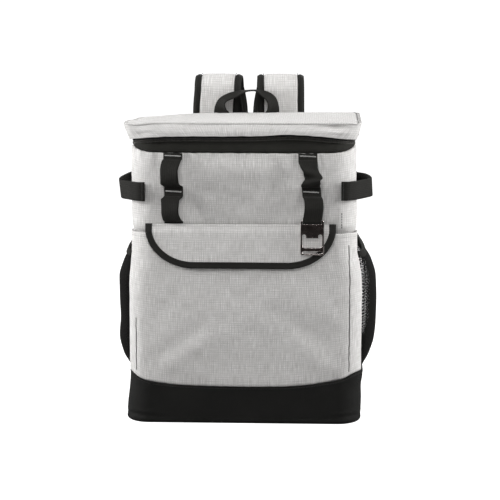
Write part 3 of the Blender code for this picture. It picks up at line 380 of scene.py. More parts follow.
FLAP_WAVES = Waves(0.0010, 0.06, 41)
SKIRT_WAVES = Waves(0.0008, 0.040, 51)
SKIRT_GATHERS = Waves(0.0005, 0.012, 52)
SKIRT_EDGE_GATHERS = Waves(0.0004, 0.03, 53)
LID_WAVES = Waves(0.0018, 0.09, 54)
LID_SMALL_WAVES = Waves(0.0010, 0.035, 55)
ZIP_TAPE_WAVER = Waves(0.0005, 0.018, 61)
NET_SLACK = Waves(0.0010, 0.03, 71)
NET_TAPE_GATHERS = Waves(0.0005, 0.0042, 72)
NET_TAPE_WAVER = Waves(0.0005, 0.012, 73)
STRAP_WAVES = (Waves(0.0006, 0.03, 80), Waves(0.0006, 0.03, 82))

# Soft folds, from and to places in the front view
POCKET_FOLDS = (
    Fold(0.040, 0.156, 0.108, 0.110, 0.0120, -0.0030),
    Fold(0.055, 0.185, 0.124, 0.138, 0.0120, 0.0018),
    Fold(-0.052, 0.136, -0.106, 0.096, 0.0120, -0.0026),
    Fold(-0.048, 0.118, -0.104, 0.078, 0.0120, 0.0022),
    Fold(0.070, 0.112, 0.112, 0.080, 0.0120, 0.0018),
    Fold(-0.010, 0.190, 0.010, 0.150, 0.0200, 0.0012),
    Fold(-0.080, 0.190, -0.110, 0.150, 0.0160, -0.0012),
    Fold(-0.020, 0.085, 0.035, 0.070, 0.0160, -0.0010),
)
UPPER_FOLDS = (
    Fold(0.044, 0.354, 0.064, 0.328, 0.0070, -0.0022),
    Fold(0.012, 0.352, 0.036, 0.330, 0.0080, 0.0018),
    Fold(-0.020, 0.350, -0.004, 0.336, 0.0090, 0.0012),
    Fold(0.056, 0.330, 0.030, 0.312, 0.0100, 0.0010),
    Fold(-0.066, 0.300, -0.058, 0.278, 0.0080, -0.0014),
    Fold(0.066, 0.322, 0.074, 0.300, 0.0080, 0.0010),
    Fold(-0.010, 0.300, 0.020, 0.284, 0.0140, -0.0008),
)
FLAP_FOLDS = (
    Fold(-0.022, 0.262, -0.040, 0.236, 0.0100, -0.0009),
    Fold(-0.004, 0.260, -0.020, 0.232, 0.0100, 0.0007),
    Fold(0.040, 0.262, 0.030, 0.236, 0.0140, 0.0006),
)


def ease(share):
    """Rises from 0 to 1 with level ends."""
    share = np.clip(share, 0.0, 1.0)
    return share * share * (3.0 - 2.0 * share)


def swell(distance, reach):
    """1 at no distance, fading softly to 0 over about twice this reach."""
    return np.exp(-((distance / reach) ** 2))


def unit(vectors):
    return vectors / np.maximum(np.linalg.norm(vectors, axis=-1, keepdims=True), 1e-12)


def curve_at(place, places, values):
    """The value at a place on a smooth curve through a table, which never overshoots its rows."""
    places = np.array(places, float)
    values = np.array(values, float)
    slopes = np.diff(values) / np.diff(places)
    before, after = slopes[:-1], slopes[1:]
    same_way = before * after > 0
    inner = np.where(same_way, 2 * before * after / np.where(same_way, before + after, 1.0), 0.0)
    bends = np.concatenate([slopes[:1], inner, slopes[-1:]])
    place = np.clip(place, places[0], places[-1])
    row = np.clip(np.searchsorted(places, place, side="right") - 1, 0, len(slopes) - 1)
    step = places[row + 1] - places[row]
    t = (place - places[row]) / step
    return (
        (2 * t ** 3 - 3 * t ** 2 + 1) * values[row]
        + (t ** 3 - 2 * t ** 2 + t) * step * bends[row]
        + (3 * t ** 2 - 2 * t ** 3) * values[row + 1]
        + (t ** 3 - t ** 2) * step * bends[row + 1]
    )


def distances(points):
    """How far along the line each point is."""
    steps = np.linalg.norm(np.diff(points, axis=0), axis=1)
    return np.concatenate([[0.0], np.cumsum(steps)])


def tangents(route):
    return unit(np.gradient(route, axis=0))


def rumple(points, waves):
    """Soft unevenness of laid cloth, mostly within half the waves' height, from waves that cross."""
    draw = np.random.default_rng(waves.seed)
    total = np.zeros(points.shape[:-1])
    count = 8
    for _ in range(count):
        direction = unit(draw.normal(size=3))
        length = waves.reach * draw.uniform(0.7, 1.7)
        total += np.sin(2 * math.pi * (points @ direction) / length + draw.uniform(0, 2 * math.pi))
    return waves.height * (total / count)


def gathers(along, waves):
    """Puckers beside a seam, from waves along it."""
    draw = np.random.default_rng(waves.seed)
    total = np.zeros(np.shape(along))
    count = 5
    for _ in range(count):
        length = waves.reach * draw.uniform(0.55, 1.9)
        total = total + np.sin(2 * math.pi * along / length + draw.uniform(0, 2 * math.pi))
    return waves.height * (total / count)


def fold_lift(folds, x, z):
    """How far the folds lift the cloth outward at a place in the front view."""
    lift = np.zeros(np.broadcast(x, z).shape)
    for fold in folds:
        along_x = fold.to_x - fold.from_x
        along_z = fold.to_z - fold.from_z
        squared = along_x ** 2 + along_z ** 2
        share = ((x - fold.from_x) * along_x + (z - fold.from_z) * along_z) / squared
        share = np.clip(share, 0.0, 1.0)
        distance = np.hypot(x - fold.from_x - share * along_x, z - fold.from_z - share * along_z)
        lift += fold.height * swell(distance, fold.reach)
    return lift


def outline(plan, steps=FINE):
    """A ring round a rounded rectangle, anticlockwise from above, from the front's left end."""
    wide, front, back, corner = plan
    inner_x = wide - corner
    low, high = front + corner, back - corner
    sides = (
        ((-inner_x, front), (inner_x, front), steps.front, (inner_x, low), -90),
        ((wide, low), (wide, high), steps.side, (inner_x, high), 0),
        ((inner_x, back), (-inner_x, back), steps.back, (-inner_x, high), 90),
        ((-wide, high), (-wide, low), steps.side, (-inner_x, low), 180),
    )
    parts = []
    for start, end, count, centre, from_angle in sides:
        share = (np.arange(count) / count)[:, None]
        parts.append(np.array(start) + share * (np.array(end) - np.array(start)))
        angle = np.radians(from_angle + 90.0 * np.arange(steps.corner) / steps.corner)
        parts.append(np.array(centre) + corner * np.stack([np.cos(angle), np.sin(angle)], axis=1))
    return np.vstack(parts)


def shrink(plan, inset):
    corner = max(plan.corner - inset, 0.0005)
    return Plan(plan.half_width - inset, plan.front + inset, plan.back - inset, corner)


def at_height(ring, z):
    """The places of a ring, put at one height or at a height each."""
    return np.column_stack([ring, np.broadcast_to(z, len(ring))])


def ring_outward(ring):
    """Unit vectors that point out of a closed ring, with a z of 0."""
    ahead = np.roll(ring, -1, axis=0) - np.roll(ring, 1, axis=0)
    return unit(np.stack([ahead[:, 1], -ahead[:, 0], np.zeros(len(ring))], axis=1))


def line_outward(line):
    """The same for an open line that runs anticlockwise from above."""
    ahead = np.gradient(line[:, :2], axis=0)
    return unit(np.column_stack([ahead[:, 1], -ahead[:, 0], np.zeros(len(line))]))


def round_from_front(x, y, front):
    """Distance along the cloth from the middle of the front, round both corners, negative on the left."""
    return x + np.where(x < 0, -1.0, 1.0) * np.maximum(0.0, y - front)


def boot_seam(x, y):
    """Height of the boot's top edge: low at the middle of the front, higher round the corners."""
    around = round_from_front(x, y, -BASE_DEPTH / 2)
    return BOOT_FRONT_HEIGHT + curve_at(around, SEAM_PLACES, SEAM_RISE)


def sway(points):
    """The points, moved to where the body's uneven stand puts them."""
    moved = np.array(points, float)
    moved[..., 0] += curve_at(moved[..., 2], SWAY_HEIGHTS, SWAY)
    return moved


def rim_height(x, y):
    """Height of the tub's rim: up at the front corners, and up to the lid at the back, beyond the zip."""
    across = np.minimum(1.0, np.abs(x) / (BODY_RIM_WIDTH / 2))
    behind = ease((y - BODY_BACK + BODY_CORNER_RADIUS) / (0.7 * BODY_CORNER_RADIUS))
    low = RIM_FRONT_HEIGHT + RIM_CORNER_RISE * across ** RIM_CORNER_SHARPNESS
    return low + behind * (lid_edge(x, y) - 2 * GAP - low)


def lid_edge(x, y):
    """Height of the skirt's lower edge: it droops at the front corners and humps over the right strap."""
    half_width = BODY_RIM_WIDTH / 2
    across = np.minimum(1.0, np.abs(x) / half_width)
    droop = LID_CORNER_DROP * np.maximum(across ** 5, ease((y + BODY_UPPER_FRONT) / (BODY_BACK / 2)))
    front = 1 - ease((y + BODY_UPPER_FRONT) / (BODY_BACK / 4))
    hump = swell(x - LID_HUMP_PLACE * half_width, LID_HUMP_REACH * half_width)
    return LID_EDGE_HEIGHT - droop + LID_HUMP * hump * front


def tub_value(z, column):
    """A column of the tub's sections at a height above the floor."""
    levels = [section.height for section in TUB_SECTIONS]
    return curve_at(z, levels, [getattr(section, column) for section in TUB_SECTIONS])


def body_half_width(z):
    return tub_value(z, "half_width")


def body_front(z):
    """Y of the tub's front above the boot."""
    behind_pocket = BASE_DEPTH / 2 - POCKET_PANEL_THICKNESS - POCKET_SPACE
    reach = behind_pocket + tub_value(z, "forward") * (BODY_UPPER_FRONT - behind_pocket)
    return tub_value(z, "setback") * BODY_RIM_SETBACK - reach


def pocket_front(share):
    """Y of the pocket panel's outer face at a share of its height."""
    return -(BASE_DEPTH / 2 + curve_at(share, POCKET_HEIGHTS, POCKET_FULLNESS_AT) * POCKET_FULLNESS)


def flap_back(z):
    """Y of the flap's back face: it leaves the tub at the top and lies over the pocket's hem below."""
    over_pocket = pocket_front((np.minimum(z, POCKET_TOP) - BOOT_FRONT_HEIGHT) / POCKET_HEIGHT) - FLAP_SLACK
    over_hem = ease((FLAP_TOP - z) / (FLAP_RISE - GAP))
    at_top = body_front(FLAP_TOP) - 2 * GAP
    hem = pocket_front(1.0) - FLAP_SLACK
    return np.where(z > POCKET_TOP, at_top + over_hem * (hem - at_top), np.minimum(over_pocket, hem))


def smooth_route(stops, count):
    """Evenly spaced points on a smooth curve through the stops."""
    stops = np.array(stops, float)
    padded = np.vstack([2 * stops[0] - stops[1], stops, 2 * stops[-1] - stops[-2]])
    fine = []
    parts = 24
    for index in range(1, len(padded) - 2):
        before, start, end, after = padded[index - 1: index + 3]
        for step in range(parts):
            t = step / parts
            fine.append(0.5 * (
                2 * start
                + (end - before) * t
                + (2 * before - 5 * start + 4 * end - after) * t * t
                + (3 * start - before - 3 * end + after) * t * t * t
            ))
    fine.append(stops[-1])
    return respace(np.array(fine), count)


def points_at(targets, places, values):
    """Rows of values, each of which belongs to a place, read off at the targets."""
    return np.stack([np.interp(targets, places, values[:, axis]) for axis in range(3)], axis=1)


def respace(route, count):
    """The same line, cut into this many equal steps."""
    places = distances(route)
    return points_at(np.linspace(0.0, places[-1], count + 1), places, route)


def add_object(name, data):
    made = bpy.data.objects.new(name, data)
    bpy.context.scene.collection.objects.link(made)
    return made


def add_mesh(name, points, faces, uvs, finishes):
    """A smooth mesh object with its cloth coordinates, in metres, in the layer named cloth."""
    mesh = bpy.data.meshes.new(name)
    mesh.from_pydata(np.asarray(points).tolist(), [], faces)
    layer = mesh.uv_layers.new(name="cloth")
    layer.data.foreach_set("uv", np.asarray(uvs, np.float32).ravel())
    for finish in finishes:
        mesh.materials.append(finish)
    mesh.shade_smooth()
    return add_object(name, mesh)


def dress(piece, nodes=(), body="bag"):
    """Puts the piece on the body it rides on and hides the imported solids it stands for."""
    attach(piece, body)
    if nodes:
        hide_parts(*nodes)
    return piece


def add_surface(name, grid, finish, closed=False, planar=False, caps=(), uv=None):
    """Cloth over a grid. Closed joins the last column to the first, and caps are rows that get a lid."""
    rows, columns = grid.shape[:2]
    index = np.arange(rows * columns).reshape(rows, columns)
    wrapped = np.concatenate([grid, grid[:, :1]], axis=1) if closed else grid
    around = np.concatenate([index, index[:, :1]], axis=1) if closed else index
    if planar:
        uv = wrapped[:, :, :2]
    elif uv is None:
        across = distances(wrapped[rows // 2])
        up = np.concatenate([[0.0], np.cumsum(np.linalg.norm(np.diff(grid, axis=0), axis=2).mean(axis=1))])
        uv = np.stack(np.broadcast_arrays(across[None, :], up[:, None]), axis=2)
    first, second = slice(0, -1), slice(1, None)
    corners = ((first, first), (first, second), (second, second), (second, first))
    faces = np.stack([around[corner] for corner in corners], axis=-1).reshape(-1, 4).tolist()
    uvs = np.stack([uv[corner] for corner in corners], axis=2).reshape(-1, 2)
    for row in caps:
        ring = index[row][::-1] if row == 0 else index[row]
        places = grid[row][::-1] if row == 0 else grid[row]
        faces.append(ring.tolist())
        uvs = np.vstack([uvs, places[:, :2]])
    return add_mesh(name, grid.reshape(-1, 3), faces, uvs, [finish])


def add_wall(piece, thickness, offset=-1.0):
    """Cloth of this thickness, laid inside the surface."""
    wall = piece.modifiers.new("wall", "SOLIDIFY")
    wall.thickness = thickness
    wall.offset = offset
    wall.use_even_offset = True


def tape_profile(width, thickness, across_steps=8, crown=0.0, hollow=0.0):
    """Places round a strap's section: how far across from 0 to 1, and how far out of its middle.

    The edges are round, and a padded one has a crowned front and a hollowed back.
    """
    edge = min(0.4, 0.5 * thickness / width)
    inner = np.linspace(edge, 1 - edge, across_steps + 1)
    arch = 1 - (2 * inner - 1) ** 2
    front = thickness * (0.5 + crown * arch)
    back = -thickness * (0.5 - hollow * arch)
    near = [(0.0, -0.20 * thickness), (0.0, 0.20 * thickness)]
    far = [(1.0, 0.20 * thickness), (1.0, -0.20 * thickness)]
    return np.array([*near, *zip(inner, front), *far, *zip(inner[::-1], back[::-1])])


def add_strip(name, left, right, thickness, finish, across_steps=8, crown=0.0, hollow=0.0):
    """A strap between its two edge lines. Its front looks along (right - left) x (the way it runs)."""
    side = right - left
    width = np.linalg.norm(side, axis=1)
    middle_line = (left + right) / 2
    facing = unit(np.cross(side, tangents(middle_line)))
    thickness = np.broadcast_to(thickness, len(left))
    rows = []
    uv = []
    along = distances(middle_line)
    for index in range(len(left)):
        profile = tape_profile(width[index], thickness[index], across_steps, crown, hollow)
        share, out = profile[:, :1], profile[:, 1:]
        rows.append(left[index] + share * side[index] + out * facing[index])
        across = np.append(profile[:, 0], profile[0, 0]) * width[index]
        uv.append(np.stack([across, np.full(len(across), along[index])], axis=1))
    return add_surface(name, np.array(rows), finish, closed=True, caps=(0, len(rows) - 1), uv=np.array(uv))


def webbing_edges(route, across, width=WEBBING_WIDTH):
    across = unit(np.asarray(across, float))
    return route - across * width / 2, route + across * width / 2


def bight(centre, along, outward, radius, from_angle, to_angle, steps):
    """Points of a turn round a bar. Angle 0 points outward, and 90 along."""
    angle = np.radians(np.linspace(from_angle, to_angle, steps + 1))[:, None]
    return np.array(centre) + radius * (np.array(outward) * np.cos(angle) + np.array(along) * np.sin(angle))


def stitches_along(line, outward, pitch=STITCH_PITCH, length=STITCH_LENGTH):
    """Start, end and outward direction of each stitch along a line."""
    places = distances(line)
    starts = np.arange(pitch / 2, places[-1] - length, pitch)
    outward = np.broadcast_to(outward, line.shape)
    return [
        points_at(starts, places, line),
        points_at(starts + length, places, line),
        unit(points_at(starts + length / 2, places, outward)),
    ]


def add_threads(name, runs, finish, radius=STITCH_RADIUS):
    """One piece of many short threads, each bowed out of the cloth and going into it at both ends."""
    start, end, outward = (np.vstack([run[part] for run in runs]) for part in range(3))
    along = unit(end - start)
    sideways = np.cross(along, outward)
    sides = 5
    bows = ((0.0, -0.5, 0.55), (0.18, 0.45, 1.0), (0.5, 0.75, 1.0), (0.82, 0.45, 1.0), (1.0, -0.5, 0.55))
    rings = []
    for share, bow, size in bows:
        middle = start + share * (end - start) + bow * radius * outward
        for side in range(sides):
            angle = 2 * math.pi * side / sides
            rings.append(middle + size * radius * (math.cos(angle) * sideways + math.sin(angle) * outward))
    points = np.stack(rings, axis=1)
    count = len(bows) * sides
    one = []
    for level in range(len(bows) - 1):
        for side in range(sides):
            here = level * sides + side
            beside = level * sides + (side + 1) % sides
            one.append((here, beside, beside + sides, here + sides))
    one_array = np.array(one)
    faces = (one_array[None] + count * np.arange(len(start))[:, None, None]).reshape(-1, 4).tolist()
    first = np.arange(sides)[::-1]
    last = np.arange(count - sides, count)
    for ring in (first, last):
        faces += (ring[None] + count * np.arange(len(start))[:, None]).tolist()
    loops = sum(len(face) for face in faces)
    return add_mesh(name, points.reshape(-1, 3), faces, np.zeros((loops, 2)), [finish])


def tack_threads(centre, across, along, outward, width, height, count=24):
    """A bartack: threads side by side over this width, each as long as its height."""
    centre, across, along, outward = (np.array(value, float) for value in (centre, across, along, outward))
    offsets = (np.linspace(-0.5, 0.5, count) * width)[:, None]
    lean = np.where(np.arange(count) % 2, 0.25, -0.25)[:, None] * width / count
    start = centre + across * (offsets - lean) - along * height / 2
    end = centre + across * (offsets + lean) + along * height / 2
    return [start, end, np.broadcast_to(outward, start.shape)]


def add_node(tree, kind, inputs=None, **settings):
    """A shader node with its settings, and its inputs given as values or as the sockets that feed them."""
    made = tree.nodes.new(kind)
    for name, value in settings.items():
        setattr(made, name, value)
    for name, value in (inputs or {}).items():
        if isinstance(value, bpy.types.NodeSocket):
            tree.links.new(value, made.inputs[name])
        else:
            made.inputs[name].default_value = value
    return made


def maths(tree, operation, first, second=0.0):
    return add_node(tree, "ShaderNodeMath", {0: first, 1: second}, operation=operation).outputs[0]


def mix_colour(tree, share, first, second, blend="MIX"):
    settings = {"data_type": "RGBA", "blend_type": blend}
    return add_node(tree, "ShaderNodeMix", {0: share, 6: first, 7: second}, **settings).outputs[2]


def spread_out(tree, value, low, high):
    """The value's range from low to high, drawn out to 0 and 1."""
    limits = {"Value": value, "From Min": low, "From Max": high}
    return add_node(tree, "ShaderNodeMapRange", limits).outputs[0]


def start_group(name, inputs, outputs):
    """A node group. Inputs are given as name, kind and value, and outputs as name and kind."""
    tree = bpy.data.node_groups.new(name, "ShaderNodeTree")
    for label, kind, value in inputs:
        socket = tree.interface.new_socket(label, in_out="INPUT", socket_type=kind)
        if value is not None:
            socket.default_value = value
    for label, kind in outputs:
        tree.interface.new_socket(label, in_out="OUTPUT", socket_type=kind)
    entry = tree.nodes.new("NodeGroupInput")
    leave = tree.nodes.new("NodeGroupOutput")
    return tree, entry.outputs, leave.inputs


def line_mask(tree, position, pitch, share):
    """1 on lines at this pitch and 0 between them. Share is how much of the pitch a line takes."""
    turns = maths(tree, "FRACT", maths(tree, "DIVIDE", position, pitch))
    off_line = maths(tree, "ABSOLUTE", maths(tree, "SUBTRACT", turns, 0.5))
    start = maths(tree, "SUBTRACT", 0.5, maths(tree, "MULTIPLY", share, 0.5))
    return add_node(
        tree,
        "ShaderNodeMapRange",
        {"Value": off_line, "From Min": maths(tree, "SUBTRACT", start, 0.12), "From Max": start},
        interpolation_type="SMOOTHSTEP",
    ).outputs[0]


def ripple(tree, position, pitch):
    """A wave of this pitch, from 0 to 1."""
    turns = maths(tree, "MULTIPLY", maths(tree, "DIVIDE", position, pitch), 2 * math.pi)
    return maths(tree, "MULTIPLY_ADD", maths(tree, "SINE", turns), 0.5)


def noise(tree, place, scale, detail):
    inputs = {"Vector": place, "Scale": scale, "Detail": detail}
    return add_node(tree, "ShaderNodeTexNoise", inputs).outputs[0]


def stretched_noise(tree, place, scale):
    """Noise whose grain is drawn out: scale is grains to the metre in each direction."""
    scaled = add_node(tree, "ShaderNodeVectorMath", {0: place, 1: scale}, operation="MULTIPLY")
    return noise(tree, scaled.outputs[0], 1.0, 2.0)


def make_weave_group():
    """Plain weave with a ripstop grid and uneven yarn."""
    tree, entry, leave = start_group(
        "ripstop_weave",
        (
            ("Place", "NodeSocketVector", None),
            ("Grid Pitch", "NodeSocketFloat", 0.003),
            ("Grid Share", "NodeSocketFloat", 0.2),
            ("Thread Pitch", "NodeSocketFloat", 0.0006),
        ),
        (("Grid", "NodeSocketFloat"), ("Threads", "NodeSocketFloat"), ("Yarn", "NodeSocketFloat")),
    )
    split = add_node(tree, "ShaderNodeSeparateXYZ", {0: entry["Place"]}).outputs
    lines = [line_mask(tree, split[axis], entry["Grid Pitch"], entry["Grid Share"]) for axis in (0, 1)]
    tree.links.new(maths(tree, "MAXIMUM", *lines), leave["Grid"])
    warp = ripple(tree, split[0], entry["Thread Pitch"])
    weft = ripple(tree, split[1], entry["Thread Pitch"])
    over = maths(tree, "ABSOLUTE", maths(tree, "SUBTRACT", warp, weft))
    tree.links.new(over, leave["Threads"])
    upright = stretched_noise(tree, entry["Place"], (1100.0, 60.0, 1.0))
    level = stretched_noise(tree, entry["Place"], (60.0, 1100.0, 1.0))
    both = maths(tree, "ADD", maths(tree, "MULTIPLY", upright, 0.62), maths(tree, "MULTIPLY", level, 0.38))
    tree.links.new(spread_out(tree, both, 0.36, 0.64), leave["Yarn"])
    return tree


def make_rib_group():
    """Woven ribs that run along a tape, crossed by finer weft."""
    tree, entry, leave = start_group(
        "ribbed_tape",
        (
            ("Place", "NodeSocketVector", None),
            ("Rib Pitch", "NodeSocketFloat", 0.0016),
            ("Weft Pitch", "NodeSocketFloat", 0.0009),
        ),
        (("Height", "NodeSocketFloat"), ("Ribs", "NodeSocketFloat")),
    )
    split = add_node(tree, "ShaderNodeSeparateXYZ", {0: entry["Place"]}).outputs
    ribs = ripple(tree, split[0], entry["Rib Pitch"])
    rib = maths(tree, "FLOOR", maths(tree, "DIVIDE", split[0], entry["Rib Pitch"]))
    half = maths(tree, "MULTIPLY", rib, 0.5)
    shifted = maths(tree, "ADD", split[1], maths(tree, "MULTIPLY", half, entry["Weft Pitch"]))
    weft = ripple(tree, shifted, entry["Weft Pitch"])
    height = maths(tree, "ADD", maths(tree, "MULTIPLY", ribs, 0.6), maths(tree, "MULTIPLY", weft, 0.4))
    tree.links.new(height, leave["Height"])
    tree.links.new(ribs, leave["Ribs"])
    return tree


def make_wear_group():
    """Soft patches from use and a little lint, in a colour of its own."""
    tree, entry, leave = start_group(
        "use_and_lint",
        (
            ("Colour", "NodeSocketColor", None),
            ("Worn Colour", "NodeSocketColor", None),
            ("Amount", "NodeSocketFloat", 0.2),
            ("Reach", "NodeSocketFloat", 0.05),
        ),
        (("Colour", "NodeSocketColor"), ("Patches", "NodeSocketFloat")),
    )
    place = add_node(tree, "ShaderNodeTexCoord").outputs["Object"]
    scale = maths(tree, "DIVIDE", 1.0, entry["Reach"])
    patches = spread_out(tree, noise(tree, place, scale, 4.0), 0.38, 0.70)
    lint = spread_out(tree, noise(tree, place, 900.0, 1.0), 0.74, 0.80)
    share = maths(tree, "MULTIPLY", maths(tree, "MAXIMUM", patches, lint), entry["Amount"])
    tree.links.new(mix_colour(tree, share, entry["Colour"], entry["Worn Colour"]), leave["Colour"])
    tree.links.new(patches, leave["Patches"])
    return tree


WEAVE = make_weave_group()
RIBS = make_rib_group()
USE = make_wear_group()


def start_material(name, roughness, metallic=0.0, sheen=0.0, gloss=0.1):
    """A material, its tree and its shader, with the values that are the same all over."""
    finish = bpy.data.materials.new(name)
    finish.use_nodes = True
    tree = finish.node_tree
    shader = tree.nodes["Principled BSDF"]
    shader.inputs["Roughness"].default_value = roughness
    shader.inputs["Metallic"].default_value = metallic
    shader.inputs["Specular IOR Level"].default_value = gloss
    shader.inputs["Sheen Weight"].default_value = sheen
    shader.inputs["Sheen Roughness"].default_value = 0.5
    return finish, tree, shader


def cloth_place(tree):
    return add_node(tree, "ShaderNodeUVMap", uv_map="cloth").outputs[0]


def add_group(tree, group, inputs):
    return add_node(tree, "ShaderNodeGroup", inputs, node_tree=group).outputs


def add_bump(tree, shader, height, distance):
    bump = add_node(tree, "ShaderNodeBump", {"Height": height, "Distance": distance, "Strength": 1.0})
    tree.links.new(bump.outputs[0], shader.inputs["Normal"])


def woven_finish(
    name, pale, dark, line, roughness, grid=0.003, thread=0.0006, depth=0.00012, sheen=0.1,
    grid_depth=0.35, use=0.12, worn=(0.5, 0.49, 0.47, 1.0), gloss=0.1,
):
    """Woven cloth: two yarn colours, the colour of its grid lines, and soft wear."""
    finish, tree, shader = start_material(name, roughness, sheen=sheen, gloss=gloss)
    weave = add_group(tree, WEAVE, {
        "Place": cloth_place(tree), "Grid Pitch": grid, "Grid Share": 0.22, "Thread Pitch": thread,
    })
    yarn = mix_colour(tree, weave["Yarn"], dark, pale)
    crossed = mix_colour(tree, maths(tree, "MULTIPLY", weave["Grid"], grid_depth), yarn, line)
    used = add_group(tree, USE, {"Colour": crossed, "Worn Colour": worn, "Amount": use, "Reach": 0.06})
    tree.links.new(used["Colour"], shader.inputs["Base Color"])
    height = maths(tree, "SUBTRACT", weave["Threads"], maths(tree, "MULTIPLY", weave["Grid"], 0.5))
    add_bump(tree, shader, height, depth)
    return finish


def tape_finish(name, colour, worn, roughness, rib, weft, depth=0.0003, sheen=0.02, use=0.25):
    """Webbing or binding tape, with its ribs, whose crests are painted paler as a highlight."""
    finish, tree, shader = start_material(name, roughness, sheen=sheen)
    ribs = add_group(tree, RIBS, {"Place": cloth_place(tree), "Rib Pitch": rib, "Weft Pitch": weft})
    # Painted highlight: the ribs' crests are mixed towards the paler worn colour, which also tints the worn
    # patches
    lit = mix_colour(tree, maths(tree, "MULTIPLY", ribs["Height"], 0.5), colour, worn)
    used = add_group(tree, USE, {"Colour": lit, "Worn Colour": worn, "Amount": use, "Reach": 0.03})
    tree.links.new(used["Colour"], shader.inputs["Base Color"])
    add_bump(tree, shader, ribs["Height"], depth)
    return finish


def hard_finish(name, colour, worn, roughness, metallic, use=0.3, reach=0.01, grain=0.00004, gloss=0.3):
    """Metal or moulded plastic with fine grain and rubbed patches."""
    finish, tree, shader = start_material(name, roughness, metallic, gloss=gloss)
    used = add_group(tree, USE, {"Colour": colour, "Worn Colour": worn, "Amount": use, "Reach": reach})
    tree.links.new(used["Colour"], shader.inputs["Base Color"])
    rough = add_node(tree, "ShaderNodeMapRange", {
        "Value": used["Patches"], "To Min": roughness * 0.8, "To Max": roughness * 1.3,
    })
    tree.links.new(rough.outputs[0], shader.inputs["Roughness"])
    place = add_node(tree, "ShaderNodeTexCoord").outputs["Object"]
    scratches = stretched_noise(tree, place, (3000.0, 3000.0, 400.0))
    add_bump(tree, shader, scratches, grain)
    return finish


def colour(red, green, blue):
    return (red, green, blue, 1.0)


SHELL_CLOTH = woven_finish(
    "shell_cloth", colour(0.72, 0.71, 0.70), colour(0.46, 0.45, 0.44), colour(0.33, 0.325, 0.315), 0.85
)
BOOT_CLOTH = woven_finish(
    "boot_cloth",
    colour(0.0062, 0.0062, 0.0055), colour(0.0042, 0.0042, 0.0036), colour(0.003, 0.003, 0.003), 0.6,
    grid=0.0012, thread=0.0006, depth=0.00010, sheen=0.0,
    use=0.2, worn=colour(0.014, 0.0135, 0.0125), gloss=0.12,
)
LINER = woven_finish(
    "liner_foil", colour(0.62, 0.63, 0.64), colour(0.5, 0.51, 0.52), colour(0.4, 0.4, 0.41), 0.35,
    grid=0.006, thread=0.001, depth=0.0002, sheen=0.0,
)
LINING = woven_finish(
    "strap_lining",
    colour(0.03, 0.029, 0.028), colour(0.012, 0.012, 0.011), colour(0.004, 0.004, 0.004), 0.85,
    grid=0.0022, thread=0.0011, depth=0.0004, grid_depth=0.7,
    use=0.15, worn=colour(0.04, 0.04, 0.038),
)
WEBBING = tape_finish(
    "webbing", colour(0.006, 0.006, 0.005), colour(0.018, 0.017, 0.015), 0.62, rib=0.0025, weft=0.0012,
)
BINDING = tape_finish(
    "binding_tape", colour(0.010, 0.010, 0.009), colour(0.024, 0.023, 0.021), 0.75, rib=0.0007, weft=0.0009,
    depth=0.00015,
)
ZIP_TAPE = tape_finish(
    "zip_tape", colour(0.014, 0.014, 0.012), colour(0.034, 0.033, 0.029), 0.75, rib=0.0009, weft=0.0006,
    depth=0.0002,
)
# Painted light: the coil is coloured much paler than the tape so that it stays light in the lid skirt's
# shade
ZIP_COIL_PAINTED_LIGHT = hard_finish(
    "zip_coil", colour(0.060, 0.058, 0.053), colour(0.10, 0.098, 0.090), 0.42, 0.0, use=0.4, reach=0.004,
)
NET = tape_finish(
    "net_cord", colour(0.005, 0.0047, 0.0045), colour(0.012, 0.0115, 0.011), 0.75, rib=0.0006, weft=0.0006,
    depth=0.0001, sheen=0.0,
)
PALE_THREAD = hard_finish(
    "pale_thread", colour(0.42, 0.42, 0.41), colour(0.55, 0.55, 0.54), 0.7, 0.0, reach=0.003,
)
GREY_THREAD = hard_finish(
    "grey_thread", colour(0.30, 0.297, 0.29), colour(0.4, 0.4, 0.39), 0.7, 0.0, reach=0.003,
)
DARK_THREAD = hard_finish(
    "dark_thread", colour(0.018, 0.018, 0.017), colour(0.05, 0.05, 0.048), 0.7, 0.0, reach=0.003,
)
OPENER_METAL = hard_finish(
    "opener_metal", colour(0.045, 0.036, 0.034), colour(0.11, 0.095, 0.09), 0.24, 1.0,
    use=0.35, reach=0.008,
)
# Painted highlight: a pale, bright copy of the opener's metal, given to the bevelled edges so that they
# shine
OPENER_RIM_HIGHLIGHT = hard_finish(
    "opener_rim_highlight", colour(0.72, 0.66, 0.64), colour(0.9, 0.86, 0.84), 0.22, 1.0, use=0.5, reach=0.004,
)
BUCKLE = hard_finish(
    "buckle_plastic", colour(0.013, 0.013, 0.013), colour(0.035, 0.035, 0.034), 0.4, 0.0, reach=0.01,
)
FLOOR = hard_finish(
    "studio_floor", colour(0.32, 0.32, 0.32), colour(0.30, 0.30, 0.30), 0.9, 0.0, reach=0.8, grain=0.0,
)


def aim_at(thing, place, aim):
    """Puts a camera or a lamp at a place and turns it to face another."""
    thing.location = place
    thing.rotation_euler = (Vector(aim) - Vector(place)).to_track_quat("-Z", "Y").to_euler()


def add_camera():
    camera = add_object("camera", bpy.data.cameras.new("camera"))
    aim_at(camera, CAMERA_PLACE, CAMERA_AIM)
    camera.data.lens = CAMERA_LENS
    camera.data.sensor_width = 36.0
    bpy.context.scene.camera = camera


